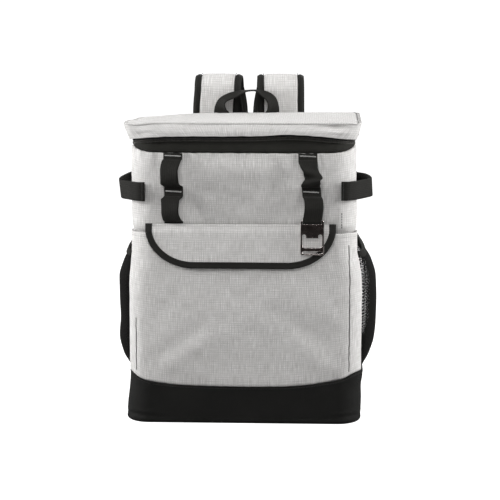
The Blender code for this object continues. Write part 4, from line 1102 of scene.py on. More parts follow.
def add_studio():
    """A white room: pale floor, softboxes at both sides, and weaker ones above, in front and behind."""
    corners = [(FLOOR_REACH * x, FLOOR_REACH * y, 0) for x, y in ((-1, -1), (1, -1), (1, 1), (-1, 1))]
    floor = add_mesh("floor", corners, [(0, 1, 2, 3)], [corner[:2] for corner in corners], [FLOOR])
    tree = FLOOR.node_tree
    shader = tree.nodes["Principled BSDF"]
    shader.inputs["Emission Color"].default_value = colour(1, 1, 1)
    from_camera = add_node(tree, "ShaderNodeLightPath").outputs["Is Camera Ray"]
    overexposed = maths(tree, "MULTIPLY", from_camera, FLOOR_GLOW)
    tree.links.new(overexposed, shader.inputs["Emission Strength"])
    world = bpy.data.worlds.new("white_room")
    world.use_nodes = True
    tree = world.node_tree
    tree.nodes.clear()
    seen = add_node(tree, "ShaderNodeBackground", {"Color": colour(1, 1, 1), "Strength": WALL_GLOW})
    lighting = add_node(
        tree, "ShaderNodeBackground", {"Color": colour(1, 1, 1), "Strength": WALL_LIGHT}
    )
    from_camera = add_node(tree, "ShaderNodeLightPath").outputs["Is Camera Ray"]
    shares = {0: from_camera, 1: lighting.outputs[0], 2: seen.outputs[0]}
    mixed = add_node(tree, "ShaderNodeMixShader", shares)
    add_node(tree, "ShaderNodeOutputWorld", {0: mixed.outputs[0]})
    bpy.context.scene.world = world
    for softbox in SOFTBOXES:
        light = bpy.data.lights.new(softbox.name, "AREA")
        light.shape = "RECTANGLE"
        light.size, light.size_y = softbox.size
        light.energy = softbox.power
        aim_at(add_object(softbox.name, light), softbox.place, softbox.aim)
    bpy.context.scene.view_settings.view_transform = "Standard"


def make_boot():
    """The boot: flat underside, rounded foot, a sewn crease above it and a folded top edge."""
    front = -BASE_DEPTH / 2
    base = Plan(BOOT_LOW_WIDTH / 2, front, BASE_DEPTH / 2, BASE_CORNER_RADIUS)
    wall = GAP + BOOT_WALL
    top = Plan(BODY_LOWER_WIDTH / 2 + wall, front, BODY_BACK + wall, BASE_CORNER_RADIUS)
    rows = [at_height(outline(shrink(base, inset)), 0.0) for inset in (0.05, 0.03)]
    for angle in np.radians(np.linspace(0, 90, 8)):
        ring = outline(shrink(base, BOOT_FOOT_RADIUS * (1 - math.sin(angle))))
        rows.append(at_height(ring, BOOT_FOOT_RADIUS * (1 - math.cos(angle))))
    low = outline(base)
    high = outline(top)
    seam = boot_seam(high[:, 0], high[:, 1])
    around = round_from_front(high[:, 0], high[:, 1], top.front)
    for share in np.linspace(0.05, 1.0, 26):
        z = BOOT_FOOT_RADIUS + share * (seam - BOOT_FOOT_RADIUS)
        lean = ease((z - BOOT_TAPER_START) / (seam - BOOT_TAPER_START))[:, None]
        ring = low + lean * (high - low)
        points = at_height(ring, z)
        dents = rumple(points, BOOT_DENTS) * math.sin(math.pi * min(1.0, share))
        corner = np.abs(np.abs(around) - BOOT_CORNER_PLACE)
        crease = BOOT_CREASE_DEPTH * np.sin((z - 0.004 + 0.05 * corner) * BOOT_CREASE_TURNS)
        crease = crease * swell(z - BOOT_CREASE_HEIGHT, 0.007) * swell(corner, 0.030)
        pucker = gathers(around, BOOT_PUCKER) * ease((share - 0.80) / 0.20)
        flare = BOOT_FLARE * ease((z - 0.046) / 0.020) * ease((ring[:, 0] - 0.13) / 0.02)
        lift = dents + crease + pucker + flare - BOOT_SETBACK
        rows.append(points + ring_outward(ring) * lift[:, None])
    rows = sway(rows)
    boot = add_surface("boot_cloth_shell", rows, BOOT_CLOTH, closed=True, caps=(0,))
    add_wall(boot, BOOT_WALL)
    dress(boot, ["base_boot"])
    edge = rows[-1]
    outward = ring_outward(edge[:, :2])
    line = edge + outward * 0.0002 - np.array([0, 0, BOOT_THREAD_DROP])
    stitches = stitches_along(np.vstack([line, line[:1]]), np.vstack([outward, outward[:1]]))
    threads = add_threads("boot_topstitching", [stitches], DARK_THREAD)
    dress(threads)


def make_tub():
    """The padded tub, with its gathered rim, folds above the flap and dips at the sewn straps."""
    inset = BOOT_WALL + GAP
    inner = shrink(Plan(BASE_WIDTH / 2, -BASE_DEPTH / 2, BASE_DEPTH / 2, BASE_CORNER_RADIUS), inset)
    rows = []
    foot = BOOT_FOOT_RADIUS - inset
    for angle in np.radians((0, 30, 60, 90)):
        ring = outline(shrink(inner, foot * (1 - math.sin(angle))))
        rows.append(at_height(ring, inset + foot * (1 - math.cos(angle))))
    rows.append(at_height(outline(inner), 0.6 * BOOT_FRONT_HEIGHT))
    step_levels = np.linspace(*TUB_LOW_LEVELS, 56), np.linspace(TUB_STEP_TOP, RIM_FRONT_HEIGHT, 46)
    levels = np.concatenate(step_levels)
    for level in levels:
        front = body_front(level)
        ring = outline(Plan(body_half_width(level), front, BODY_BACK, BODY_CORNER_RADIUS))
        x, y = ring[:, 0], ring[:, 1]
        above_flap = max(0.0, (level - FLAP_TOP) / (RIM_FRONT_HEIGHT - FLAP_TOP))
        points = at_height(ring, level + (rim_height(x, y) - RIM_FRONT_HEIGHT) * above_flap)
        around = round_from_front(x, y, front)
        facing_front = ease((front + 0.012 - y) / 0.012)
        shown = ease((level - FLAP_TOP) / 0.02) * ease((RIM_FRONT_HEIGHT - level) / 0.012)
        lift = fold_lift(UPPER_FOLDS, x, np.full_like(x, level)) * facing_front * shown
        for tack_x in DAISY_TACK_X:
            near = np.hypot(x - tack_x, level - DAISY_TACK)
            lift -= TUB_TACK_DIP * swell(near, TUB_TACK_REACH) * facing_front
        over_boot = ease((level - 0.06) / 0.03)
        lift += rumple(points, TUB_WAVES) * over_boot * (0.35 + 0.65 * facing_front)
        lift += rumple(points, TUB_SMALL_WAVES)
        near_rim = ease(1 - (RIM_FRONT_HEIGHT - level) / RIM_BAND)
        lift += gathers(around, RIM_GATHERS) * near_rim * (0.3 + 0.7 * (y < BODY_BACK - 0.03))
        near_boot = ease(1 - (level - BOOT_FRONT_HEIGHT - 0.012) / 0.012)
        lift += gathers(around, TUB_FOOT_GATHERS) * near_boot
        at_rim = ease(1 - (RIM_FRONT_HEIGHT - level) / 0.006)
        points[:, 2] += gathers(around, RIM_EDGE_GATHERS) * at_rim
        lift = np.minimum(lift, TUB_LIFT_LIMIT) * (1 - 0.6 * (level < FLAP_TOP) * facing_front)
        rows.append(points + ring_outward(ring) * lift[:, None])
    tub = add_surface("tub_cloth", sway(rows), SHELL_CLOTH, closed=True, caps=(0,))
    tub.data.materials.append(LINER)
    add_wall(tub, BODY_WALL)
    tub.modifiers["wall"].material_offset = 1
    tub.modifiers["wall"].material_offset_rim = 0
    dress(tub, ["cooler_body"])
    z = np.linspace(*TUB_SEAM_HEIGHTS, 30)
    seam = np.column_stack([np.full(len(z), TUB_SEAM_X), body_front(z) - 0.0004, z])
    stitches = stitches_along(seam, (0.2, -1, 0))
    threads = add_threads("tub_corner_stitching", [stitches], DARK_THREAD, TUB_SEAM_RADIUS)
    dress(threads)


def pocket_point_rows():
    """Grid of the pocket's outer face, from the left gusset's end round the front to the right one's."""
    rows = []
    for share in np.linspace(0.0, 1.0, 74):
        flat = BOOT_FRONT_HEIGHT + share * POCKET_HEIGHT
        half_width = body_half_width(flat) + GAP + POCKET_PANEL_THICKNESS
        front = pocket_front(share)
        plan = Plan(half_width, front, BODY_BACK, POCKET_CORNER_RADIUS)
        ring = outline(plan)
        kept = ring[: FINE.front + FINE.corner + 1]
        gusset_end = -BASE_DEPTH / 2 + POCKET_GUSSET_LENGTH
        gusset_y = np.linspace(kept[-1, 1], gusset_end, POCKET_GUSSET_STEPS + 1)[1:]
        gusset = np.column_stack([np.full(POCKET_GUSSET_STEPS, half_width), gusset_y])
        right = np.vstack([kept, gusset])
        mirrored = right[FINE.front + 1:][::-1] * (-1, 1)
        path = np.vstack([mirrored, right])
        x, y = path[:, 0], path[:, 1]
        around = round_from_front(x, y, front)
        near_boot = ease(1 - share / 0.10)
        outward = line_outward(path)
        seam = boot_seam(x, y) + GAP
        z = seam + share * (POCKET_TOP - seam)
        z = z + gathers(around, POCKET_HEM_GATHERS) * ease((share - 0.9) / 0.1)
        points = at_height(path, z)
        inner = ease((half_width - 0.006 - np.abs(x)) / 0.020)
        fade = ease((1 - share) / 0.12) * ease(share / 0.08)
        lift = POCKET_FOLD_SHARE * fade * inner * fold_lift(POCKET_FOLDS, x, z)
        held = ease(share / 0.1) * ease((1 - share) / 0.1) * (0.2 + 0.8 * inner)
        lift += rumple(points, POCKET_WAVES) * held
        lift += rumple(points, POCKET_SMALL_WAVES)
        lift += gathers(around, POCKET_FOOT_GATHERS) * near_boot
        facing_front = np.maximum(0.0, -outward[:, 1])
        lift -= POCKET_BOW * np.minimum(1.0, np.abs(x) / 0.13) ** 4 * facing_front ** 2
        edge = np.minimum(*(np.abs(x - place) for place in POCKET_SEAMS)) + 0.02 * (y > front + 0.05)
        lift -= POCKET_SEAM_DIP * swell(edge, 0.0010)
        lift += gathers(z, POCKET_SEAM_GATHERS) * swell(edge, 0.005)
        if share > POCKET_HEM_SHARE:
            lift = np.minimum(lift, POCKET_HEM_LIFT)
        rows.append(points + outward * lift[:, None])
    return np.array(rows)


def make_pocket():
    """The full-width front pocket, open at the top, with a dark cord along the sewn seam down each front
    corner that paints the seam's shadow line.
    """
    grid = sway(pocket_point_rows())
    pocket = add_surface("pocket_cloth", grid, SHELL_CLOTH)
    add_wall(pocket, POCKET_PANEL_THICKNESS)
    dress(pocket, ["front_pocket"])

    standing_rows = [row[POCKET_GUSSET_STEPS:-POCKET_GUSSET_STEPS] for row in pocket_point_rows()]
    for (side, name), place, (low, high) in zip(SIDES, POCKET_SEAMS, POCKET_SEAM_SHARES):
        line = sway([points_at([place], row[:, 0], row)[0] for row in standing_rows])
        share = np.linspace(0, 1, len(line))
        keep = (share > low) & (share < high)
        out = unit(np.array([side * 0.7, -1.0, 0.0]))
        along_front = unit(np.array([1.0, 0.7 * side, 0.0]))
        wander = gathers(line[:, 2], POCKET_SEAM_WANDER[side > 0])
        seam = line + np.outer(wander, along_front) + out * 0.0002
        # The dark cord paints the shadow line of the corner seam
        edges = webbing_edges(seam[keep], along_front, POCKET_SEAM_SHADE_CORD)
        cord = add_strip("pocket_seam_shade_" + name, *edges, POCKET_SEAM_SHADE_CORD, DARK_THREAD, 2)
        dress(cord)
    hem = grid[-3]
    outward = line_outward(hem)
    stitches = stitches_along(hem + outward * 0.0001, outward)
    threads = add_threads("pocket_topstitching", [stitches], GREY_THREAD)
    dress(threads)


def flap_outline(inset, count):
    """Points of the flap's edge, left to right: straight sides, elliptical corners and a level bottom."""
    half_width = FLAP_WIDTH / 2 - inset
    reach = FLAP_CORNER_REACH - inset
    bottom = FLAP_TOP - FLAP_HEIGHT + inset
    corner_top = FLAP_TOP - FLAP_SIDE_STRAIGHT
    angle = np.radians(90.0 * np.arange(count + 1) / count)
    x = -(half_width - reach) - reach * np.cos(angle)
    z = corner_top - (corner_top - bottom) * np.sin(angle)
    middle_x = x[-1] * (1 - 2 * np.arange(1, count) / count)
    left = np.column_stack([x, z])
    middle = np.column_stack([middle_x, np.full(count - 1, bottom)])
    right = left[::-1] * (-1, 1)
    return np.vstack([left, middle, right])


def flap_face(x, z, spare=0.0):
    """Points of the flap's outer face at places in the front view."""
    y = flap_back(z) - FLAP_THICKNESS - spare
    low = ease((FLAP_TOP - z) / 0.02)
    lift = fold_lift(FLAP_FOLDS, x, z) * low
    points = np.stack(np.broadcast_arrays(x + FLAP_SHIFT, y, z), axis=-1)
    lift += (rumple(points, FLAP_WAVES) + 0.0004) * low
    points[..., 1] -= np.maximum(0.0, lift)
    return points


def make_flap():
    """The flap of cloth over the pocket, with its bound edge."""
    count = 26
    edge = flap_outline(BINDING_WIDTH * 0.75, count)
    shares = np.linspace(1.0, 0.0, 22)
    grid = np.array([flap_face(edge[:, 0], FLAP_TOP + share * (edge[:, 1] - FLAP_TOP)) for share in shares])
    flap = add_surface("flap_cloth", grid, SHELL_CLOTH, uv=grid[:, :, (0, 2)])
    add_wall(flap, FLAP_THICKNESS)
    dress(flap, ["pocket_flap"])
    spare = (BINDING_THICKNESS - FLAP_THICKNESS) / 2
    rings = []
    for ring in (flap_outline(0.0, count), flap_outline(BINDING_WIDTH, count)):
        ends = np.vstack([(ring[0, 0], FLAP_TOP), ring, (ring[-1, 0], FLAP_TOP)])
        points = flap_face(ends[:, 0], ends[:, 1], spare)
        points[:, 1] += BINDING_THICKNESS / 2
        rings.append(points)
    outer, inner = rings
    binding = add_strip("flap_edge_tape", outer, inner, BINDING_THICKNESS, BINDING, 8)
    dress(binding, ["flap_binding"])
    line = inner + (outer - inner) * 0.16
    line[:, 1] -= BINDING_THICKNESS / 2
    threads = add_threads("flap_topstitching", [stitches_along(line, (0, -1, 0))], DARK_THREAD)
    dress(threads)


def lid_plan(share):
    """The lid's outline from its skirt's lower edge, 0, to its top edge, 1."""
    over_tape = LID_WALL + LID_SKIRT_CLEARANCE - ZIP_TAPE_SETBACK + share * LID_FLARE
    return Plan(
        BODY_RIM_WIDTH / 2 + over_tape,
        BODY_RIM_SETBACK - BODY_UPPER_FRONT - float(curve_at(share, SKIRT_SHARES, SKIRT_REACH)),
        BODY_BACK + LID_BACK_OVERHANG,
        LID_LOW_CORNER + share * (LID_TOP_CORNER - LID_LOW_CORNER),
    )


def lid_seam(x, y):
    """Height of the seam of skirt and top: it sinks at the back and dips beside the front left corner."""
    back = ease((y + 0.075) / 0.17)
    front = 1 - ease((y + 0.085) / 0.03)
    beside = LID_CORNER_DIP * swell(x - LID_DIP_PLACE, 0.011)
    dip = beside + LID_CORNER_DIP / 2 * ease((-0.146 - x) / 0.008)
    drop = back * curve_at(x, LID_BACK_PLACES, LID_BACK_DROP)
    return LID_TOP - LID_SEAM_DROP - drop - front * dip


def make_lid():
    """The padded lid: a skirt of its own and a crowned top, sewn together along a raised seam."""
    shift = np.array([LID_SHIFT, 0.0, 0.0])
    rows = []
    for share in np.linspace(0.0, 1.0, 19):
        plan = lid_plan(share)
        ring = outline(plan)
        x, y = ring[:, 0], ring[:, 1]
        edge = lid_edge(x, y)
        z = edge + share * (lid_seam(x, y) - edge)
        points = at_height(ring, z)
        around = round_from_front(x, y, plan.front)
        lift = SKIRT_FULLNESS * math.sin(math.pi * share) * (y > plan.front + 0.002)
        waves = rumple(points, SKIRT_WAVES) + gathers(around, SKIRT_GATHERS) * share
        lift += waves * min(1, 4 * share)
        for dent in SKIRT_DENTS:
            near = ((x - dent.x) / dent.reach) ** 2 + ((share - dent.share) / dent.share_reach) ** 2
            lift -= dent.depth * np.exp(-near) * (y < plan.front + 0.004)
        points[:, 2] -= gathers(around, SKIRT_EDGE_GATHERS) * (1 - share)
        rows.append(points + ring_outward(ring) * lift[:, None] + shift)
    skirt = add_surface("lid_skirt_cloth", np.array(rows), SHELL_CLOTH, closed=True)
    add_wall(skirt, LID_WALL)
    dress(skirt, ["lid"])

    plan = lid_plan(1.0)
    rows = []
    reach = (plan.back - plan.front) / 2 - 0.001
    for inset in np.concatenate([LID_EDGE_INSETS, np.linspace(0.0075, reach, 30)]):
        ring = outline(shrink(plan, inset))
        x, y = ring[:, 0], ring[:, 1]
        groove = LID_GROOVE * swell(inset - 0.0030, 0.0012)
        crown = LID_CROWN * math.sin(math.pi / 2 * min(1.0, inset / 0.012))
        points = at_height(ring, lid_seam(x, y) + crown - groove)
        puffs = rumple(points, LID_WAVES) + rumple(points, LID_SMALL_WAVES)
        points[:, 2] += puffs * ease(inset / 0.02)
        rows.append(points + shift)
    grid = np.array(rows)
    top = add_surface("lid_top_cloth", grid, SHELL_CLOTH, closed=True, planar=True, caps=(len(rows) - 1,))
    add_wall(top, LID_WALL * 0.8)
    dress(top, ["lid"])

    ring = outline(plan)
    outward = ring_outward(ring)
    seam = at_height(ring, lid_seam(*ring.T) + 0.0003) + outward * 0.0002 + shift
    seam = np.vstack([seam, seam[:1]])
    side = np.vstack([outward, outward[:1]])
    edges = webbing_edges(seam, side + np.array([0.0, 0.0, 0.5]), 0.0012)
    cord = add_strip("lid_seam_fold", *edges, 0.0010, SHELL_CLOTH, 3)
    dress(cord)
    ring = outline(shrink(plan, LID_THREAD_INSET))
    points = at_height(ring, lid_seam(*ring.T) + 0.0008) + shift
    start = FINE.front + FINE.corner
    beside = stitches_along(points[start - 6: start + FINE.side + 10], (0, 0, 1))
    dark = add_threads("lid_side_topstitching", [beside], DARK_THREAD, LID_SIDE_THREAD)
    dress(dark)
    ahead = stitches_along(points[:start - 8], (0, 0, 1))
    pale = add_threads("lid_topstitching", [ahead], GREY_THREAD)
    dress(pale)


def zip_line(setback, steps=FINE):
    """Plan points of the zip, and of the rim below them, from its left end round the front to its right."""
    rim = RIM_FRONT_HEIGHT
    plan = Plan(body_half_width(rim), body_front(rim), BODY_BACK, BODY_CORNER_RADIUS)
    last = steps.front + steps.corner + steps.side + ZIP_END_STEPS
    pairs = []
    for used in (shrink(plan, setback), plan):
        ring = outline(used, steps)
        right = ring[: last + 1]
        left = ring[steps.front + 1: last + 1][::-1] * (-1, 1)
        pairs.append(np.vstack([left, right]))
    return pairs


def make_zip():
    """The zip: woven tape behind, a coil of teeth under the lid, and the lower tape a little proud."""
    path, rim = zip_line(ZIP_TAPE_SETBACK)
    outward = line_outward(path)
    low = rim_height(rim[:, 0], rim[:, 1]) + GAP
    high = lid_edge(rim[:, 0], rim[:, 1]) + ZIP_TAPE_TUCK
    around = round_from_front(path[:, 0], path[:, 1], path[:, 1].min())
    rows = []
    for share, proud in ZIP_LOWER_PROFILE:
        z = low + share * ZIP_LOWER_TAPE
        waver = gathers(around, ZIP_TAPE_WAVER) * share
        rows.append(at_height(path, z + waver) + outward * (proud + waver * 0.5)[:, None])
    gutter = rows[-1][:, 2]
    for share in (0.06, 0.5, 1.0):
        rows.append(at_height(path, gutter + share * (high - gutter)) - outward * 0.0002)
    tape = add_surface("zip_tape_cloth", np.array(rows), ZIP_TAPE)
    add_wall(tape, ZIP_TAPE_THICKNESS)
    dress(tape, ["zip_tape"])

    dense = respace(at_height(path, high - ZIP_TAPE_TUCK - 2 * GAP), 900)
    dense_out = line_outward(dense)
    places = distances(dense)
    spots = np.arange(ZIP_TOOTH_PITCH, places[-1] - ZIP_TOOTH_PITCH, ZIP_TOOTH_PITCH)
    out = unit(points_at(spots, places, dense_out))
    at = points_at(spots, places, dense) + out * ZIP_TOOTH_REACH
    runs = [[at - (0, 0, top), at - (0, 0, bottom), out] for top, bottom in ZIP_TOOTH_ROWS]
    coil = add_threads("zip_coil_teeth", runs, ZIP_COIL_PAINTED_LIGHT, ZIP_TOOTH_RADIUS)
    dress(coil, ["zip_coil"])
    middle = (dense - (0, 0, ZIP_CORE_DEPTH) + dense_out * 0.0009)[::3]
    core = add_strip("zip_coil_core", *webbing_edges(middle, (0, 0, 1), 0.0009), 0.0007, ZIP_COIL_PAINTED_LIGHT, 2)
    dress(core)
    line = at_height(path, low + 0.0028) + outward * 0.0016
    threads = add_threads("zip_topstitching", [stitches_along(line, line_outward(line))], DARK_THREAD)
    dress(threads)


def on_front(z):
    """Y of webbing's middle where it is sewn flat to the tub's front."""
    return body_front(z) - GAP - WEBBING_THICKNESS / 2 - FOLD_AT_STRAPS


def daisy_loop(start, end, aside, steps):
    """A slack loop of webbing between two sewn places, (x, z), with its drift to the side along it."""
    share = np.linspace(0, 1, steps + 1)
    z = start[1] + share * (end[1] - start[1])
    x = start[0] + share * (end[0] - start[0]) + aside
    slack = np.sin(math.pi * share) ** 0.45
    return np.column_stack([x, on_front(z) - DAISY_LOOP_REACH * slack, z])


def opener_route():
    """The loose webbing from the right strap's tack, round the opener's bar and back to the flap's seam."""
    axis = np.array(OPENER_AXIS)
    start = np.array([DAISY_TACK_X[1] + 0.001, on_front(DAISY_TACK), DAISY_TACK - DAISY_TACK_LENGTH / 2])
    turn = BIGHT_CLEARANCE + WEBBING_THICKNESS / 2
    bend = bight(axis, (0, 0, -1), (0, -1, 0), turn, 0, 180, 16)
    end = bend[0]
    out = end[1] - start[1]
    drop = start[2] - end[2]
    stops = [start + (aside, forth * out, -down * drop) for aside, forth, down in OPENER_FALL]
    fall = smooth_route([start, *stops, end + (0.0012, 0, 0.25 * drop), end], 28)
    flap_end = FLAP_TOP + GAP
    back = bend[-1]
    sewn = np.array([axis[0], on_front(flap_end), FLAP_TOP + 0.006])
    lift = np.array([0, 0, 0.003])
    rest = [back + share * (sewn - back) + lift for share in (0.35, 0.75)]
    end = np.array([axis[0], on_front(flap_end), flap_end])
    return np.vstack([fall[:-1], bend, rest, sewn, end])


def make_daisy_straps():
    """The two webbing straps on the front, each with bartacks and slack loops between them."""
    half_tack = DAISY_TACK_LENGTH / 2
    upper_end = DAISY_TOP - 0.007
    flap_end = FLAP_TOP + GAP
    steps = 36
    share = np.linspace(0, 1, steps + 1)
    held_ends = np.minimum(1.0, share / 0.35) ** 0.6 * (1 - ease((share - 0.86) / 0.14))
    tacks = []
    for side, name in SIDES:
        which = (side + 1) // 2
        top_x, tack_x = DAISY_TOP_X[which], DAISY_TACK_X[which]
        aside = -0.0044 * held_ends
        if side > 0:
            aside = 0.0046 * swell(share - 0.56, 0.22) - 0.0008 * swell(share - 0.92, 0.06)
        route = [np.array([[top_x, on_front(DAISY_TOP), DAISY_TOP + 0.001]])]
        route.append(daisy_loop((top_x, upper_end), (tack_x, DAISY_TACK + half_tack), aside, steps))
        if side < 0:
            flap_x = tack_x - 0.0002
            aside = -0.0042 * held_ends[::-1]
            held = (tack_x, DAISY_TACK - half_tack)
            route.append(daisy_loop(held, (flap_x, FLAP_TOP + 0.003), aside, steps))
            route.append(np.array([[flap_x, on_front(flap_end), flap_end]]))
        else:
            route.append(opener_route())
        route = np.vstack(route)
        turn = np.zeros(len(route))
        tilt = np.zeros(len(route))
        upper = slice(1, steps + 2)
        lower = slice(steps + 2, 2 * steps + 3)
        if side < 0:
            turn[upper] = 0.32 * np.sin(math.pi * share)
            turn[lower] = 0.36 * np.sin(math.pi * share)
            tilt[lower] = 0.06 * np.sin(math.pi * share)
        else:
            turn[upper] = 0.60 * swell(share - 0.70, 0.13) - 0.32 * swell(share - 0.36, 0.20)
            tilt[upper] = 0.20 * np.sin(math.pi * np.minimum(1.0, share / 0.7))
        across = np.column_stack([np.cos(turn) * np.cos(tilt), -np.sin(turn), -np.sin(tilt)])
        edges = webbing_edges(route, across)
        strap = add_strip("daisy_webbing_" + name, *edges, WEBBING_THICKNESS, WEBBING, 10)
        dress(strap, ["daisy_strap_" + name])
        for x, height in ((top_x, DAISY_TOP - 0.0025), (tack_x, DAISY_TACK)):
            centre = (x - 0.0002, on_front(height) - WEBBING_FACE, height)
            directions = ((1, 0, -0.05), (0, 0, 1), (0, -1, 0))
            tacks.append(tack_threads(centre, *directions, DAISY_THREAD_WIDTH, DAISY_THREAD_HEIGHT))
    threads = add_threads("daisy_bartacks", tacks, PALE_THREAD, PALE_TACK_RADIUS)
    dress(threads)


def arc_points(centre_x, centre_y, radius, from_angle, to_angle, steps=6):
    angle = np.radians(np.linspace(from_angle, to_angle, steps + 1))
    return np.column_stack([centre_x + radius * np.cos(angle), centre_y + radius * np.sin(angle)])


def rounded_box(left, right, low, high, radius):
    return np.vstack([
        arc_points(right - radius, high - radius, radius, 0, 90),
        arc_points(left + radius, high - radius, radius, 90, 180),
        arc_points(left + radius, low + radius, radius, 180, 270),
        arc_points(right - radius, low + radius, radius, 270, 360),
    ])


def opener_mouth(half, top, radius):
    """Outline of the mouth: a wide opening whose two upper horns stand beside the tooth."""
    tooth = OPENER_TOOTH_WIDTH / 2
    horn = top + OPENER_NOTCH_HEIGHT
    low = top - OPENER_MOUTH_HEIGHT
    notch = (half - tooth) / 2
    return np.vstack([
        arc_points(half - notch, horn - notch, notch, 0, 180, 8),
        [(tooth, top), (-tooth, top)],
        arc_points(-half + notch, horn - notch, notch, 0, 180, 8),
        arc_points(-half + radius, low + radius, radius, 180, 270),
        arc_points(half - radius, low + radius, radius, 270, 360),
    ])


def add_plate(name, outlines, thickness, edge, finishes, place):
    """A flat plate with rounded edges. Faces that don't lie in its plane take the second finish."""
    shape = bpy.data.curves.new(name, "CURVE")
    shape.dimensions = "2D"
    shape.fill_mode = "BOTH"
    shape.extrude = thickness / 2 - edge
    shape.bevel_depth = edge
    shape.bevel_resolution = 2
    shape.offset = -edge
    for points in outlines:
        spline = shape.splines.new("POLY")
        spline.points.add(len(points) - 1)
        for point, (x, y) in zip(spline.points, points):
            point.co = (x, y, 0.0, 1.0)
        spline.use_cyclic_u = True
    drawn = add_object(name + "_outline", shape)
    mesh = bpy.data.meshes.new_from_object(drawn.evaluated_get(bpy.context.evaluated_depsgraph_get()))
    bpy.data.objects.remove(drawn)
    mesh.name = name
    mesh.materials.clear()
    for finish in finishes:
        mesh.materials.append(finish)
    if len(finishes) > 1:
        for face in mesh.polygons:
            face.material_index = int(abs(face.normal.z) < 0.9)
    mesh.transform(place)
    return add_object(name, mesh)


def make_opener():
    """The opener: a plate with a slot for its bar, a toothed mouth and a lower slot."""
    half = OPENER_WIDTH / 2
    inner = half - OPENER_RAIL
    top = OPENER_BAR / 2
    slot_low = -top - OPENER_SLOT_HEIGHT
    mouth_top = slot_low - OPENER_PLATE_HEIGHT
    lower_slot = mouth_top - OPENER_MOUTH_HEIGHT - OPENER_LOWER_BAR
    outlines = [
        rounded_box(-half, half, top - OPENER_HEIGHT, top, OPENER_CORNER_RADIUS),
        rounded_box(-inner, inner, slot_low, -top, OPENER_SLOT_HEIGHT / 4),
        opener_mouth(inner, mouth_top, OPENER_CORNER_RADIUS),
        rounded_box(-inner, inner, lower_slot - OPENER_LOWER_SLOT_HEIGHT, lower_slot, 0.0014),
    ]
    place = turned_place(OPENER_AXIS, (1, 0, 0), (0, 0, 1))
    # The second finish paints a highlight on the faces that leave the plate's plane, its bevelled edges
    finishes = [OPENER_METAL, OPENER_RIM_HIGHLIGHT]
    opener = add_plate("opener_plate", outlines, OPENER_THICKNESS, OPENER_EDGE, finishes, place)
    dress(opener, ["bottle_opener"], body="opener")


def turned_place(origin, right, up):
    """The matrix that puts a plate's x along right and its y along up, at this origin."""
    from_x = Vector(right).normalized()
    from_y = Vector(up).normalized()
    place = from_x.to_track_quat("X", "Y").to_matrix().to_4x4()
    place.col[0][:3] = from_x
    place.col[1][:3] = from_y
    place.col[2][:3] = from_x.cross(from_y)
    place.col[3][:3] = origin
    return place


def make_side_loops():
    """Webbing loops from the front face, out round the upper corners and back to the sides."""
    tacks = []
    for side, name in SIDES:
        which = (side + 1) // 2
        z = SIDE_LOOP_HEIGHT + SIDE_LOOP_LIFT[which]
        half_width = float(body_half_width(z))
        start = half_width - SIDE_LOOP_INSET
        off = GAP + WEBBING_THICKNESS / 2
        front = float(body_front(z)) - off - FOLD_AT_STRAPS
        end_y = float(body_front(z)) + SIDE_LOOP_LENGTH
        reach = SIDE_LOOP_REACH[which]
        out = half_width + reach
        tilt = SIDE_LOOP_TILT[which]
        stops = (
            (start, front, z),
            (start + 0.006, front, z),
            (half_width - 0.0075, front + 0.0035, z),
            (half_width + 0.0025, front + 0.0145, z),
            (out - 0.0015, front + 0.33 * SIDE_LOOP_LENGTH, z - tilt / 2),
            (out, front + 0.50 * SIDE_LOOP_LENGTH, z),
            (out - 0.35 * reach, front + 0.78 * SIDE_LOOP_LENGTH, z + tilt / 2),
            (half_width + off + 0.06 * reach, end_y - 0.09 * SIDE_LOOP_LENGTH, z + tilt),
            (half_width + off, end_y, z + tilt),
        )
        route = sway(smooth_route(stops, 90) * (side, 1, 1))
        lean = SIDE_LOOP_LEAN[which] * swell((route[:, 1] - front) / SIDE_LOOP_LENGTH - 0.38, 0.22)
        across = np.column_stack([side * np.sin(lean), 0.3 * np.sin(lean), np.cos(lean)])
        edges = webbing_edges(route, across)
        loop = add_strip("side_webbing_" + name, *edges, WEBBING_THICKNESS, WEBBING, 10)
        dress(loop, ["side_loop_" + name])
        in_front = (side * (start + 0.003), front - WEBBING_FACE, z)
        behind = (side * (half_width + off + WEBBING_FACE + 0.0001), end_y - 0.004, z + tilt)
        for spot, along, facing in ((in_front, (1, 0, 0), (0, -1, 0)), (behind, (0, 1, 0), (side, 0, 0))):
            tacks.append(tack_threads(spot, (0, 0, 1), along, facing, SIDE_THREAD_WIDTH, TACK_HEIGHT, 26))
    threads = add_threads("side_loop_bartacks", tacks, DARK_THREAD, DARK_TACK_RADIUS)
    dress(threads)


def net_point(along, share, outward, bulges):
    """Places on a right net pocket at shares of its length from the front and of its height."""
    y = NET_FRONT + along * (NET_BACK - NET_FRONT)
    bottom = boot_seam(BASE_WIDTH / 2, y) + GAP
    z = bottom + share * (NET_TOP - NET_FRONT_DROP * (1 - along) ** 2 - bottom)
    spread = (1 - np.abs(2 * along ** NET_FULL_FRONT - 1) ** 3.0) ** 0.8
    x = body_half_width(z) + GAP + outward + NET_BULGE * curve_at(z, NET_HEIGHTS, bulges) * spread
    return np.stack(np.broadcast_arrays(x, y, z), axis=-1)


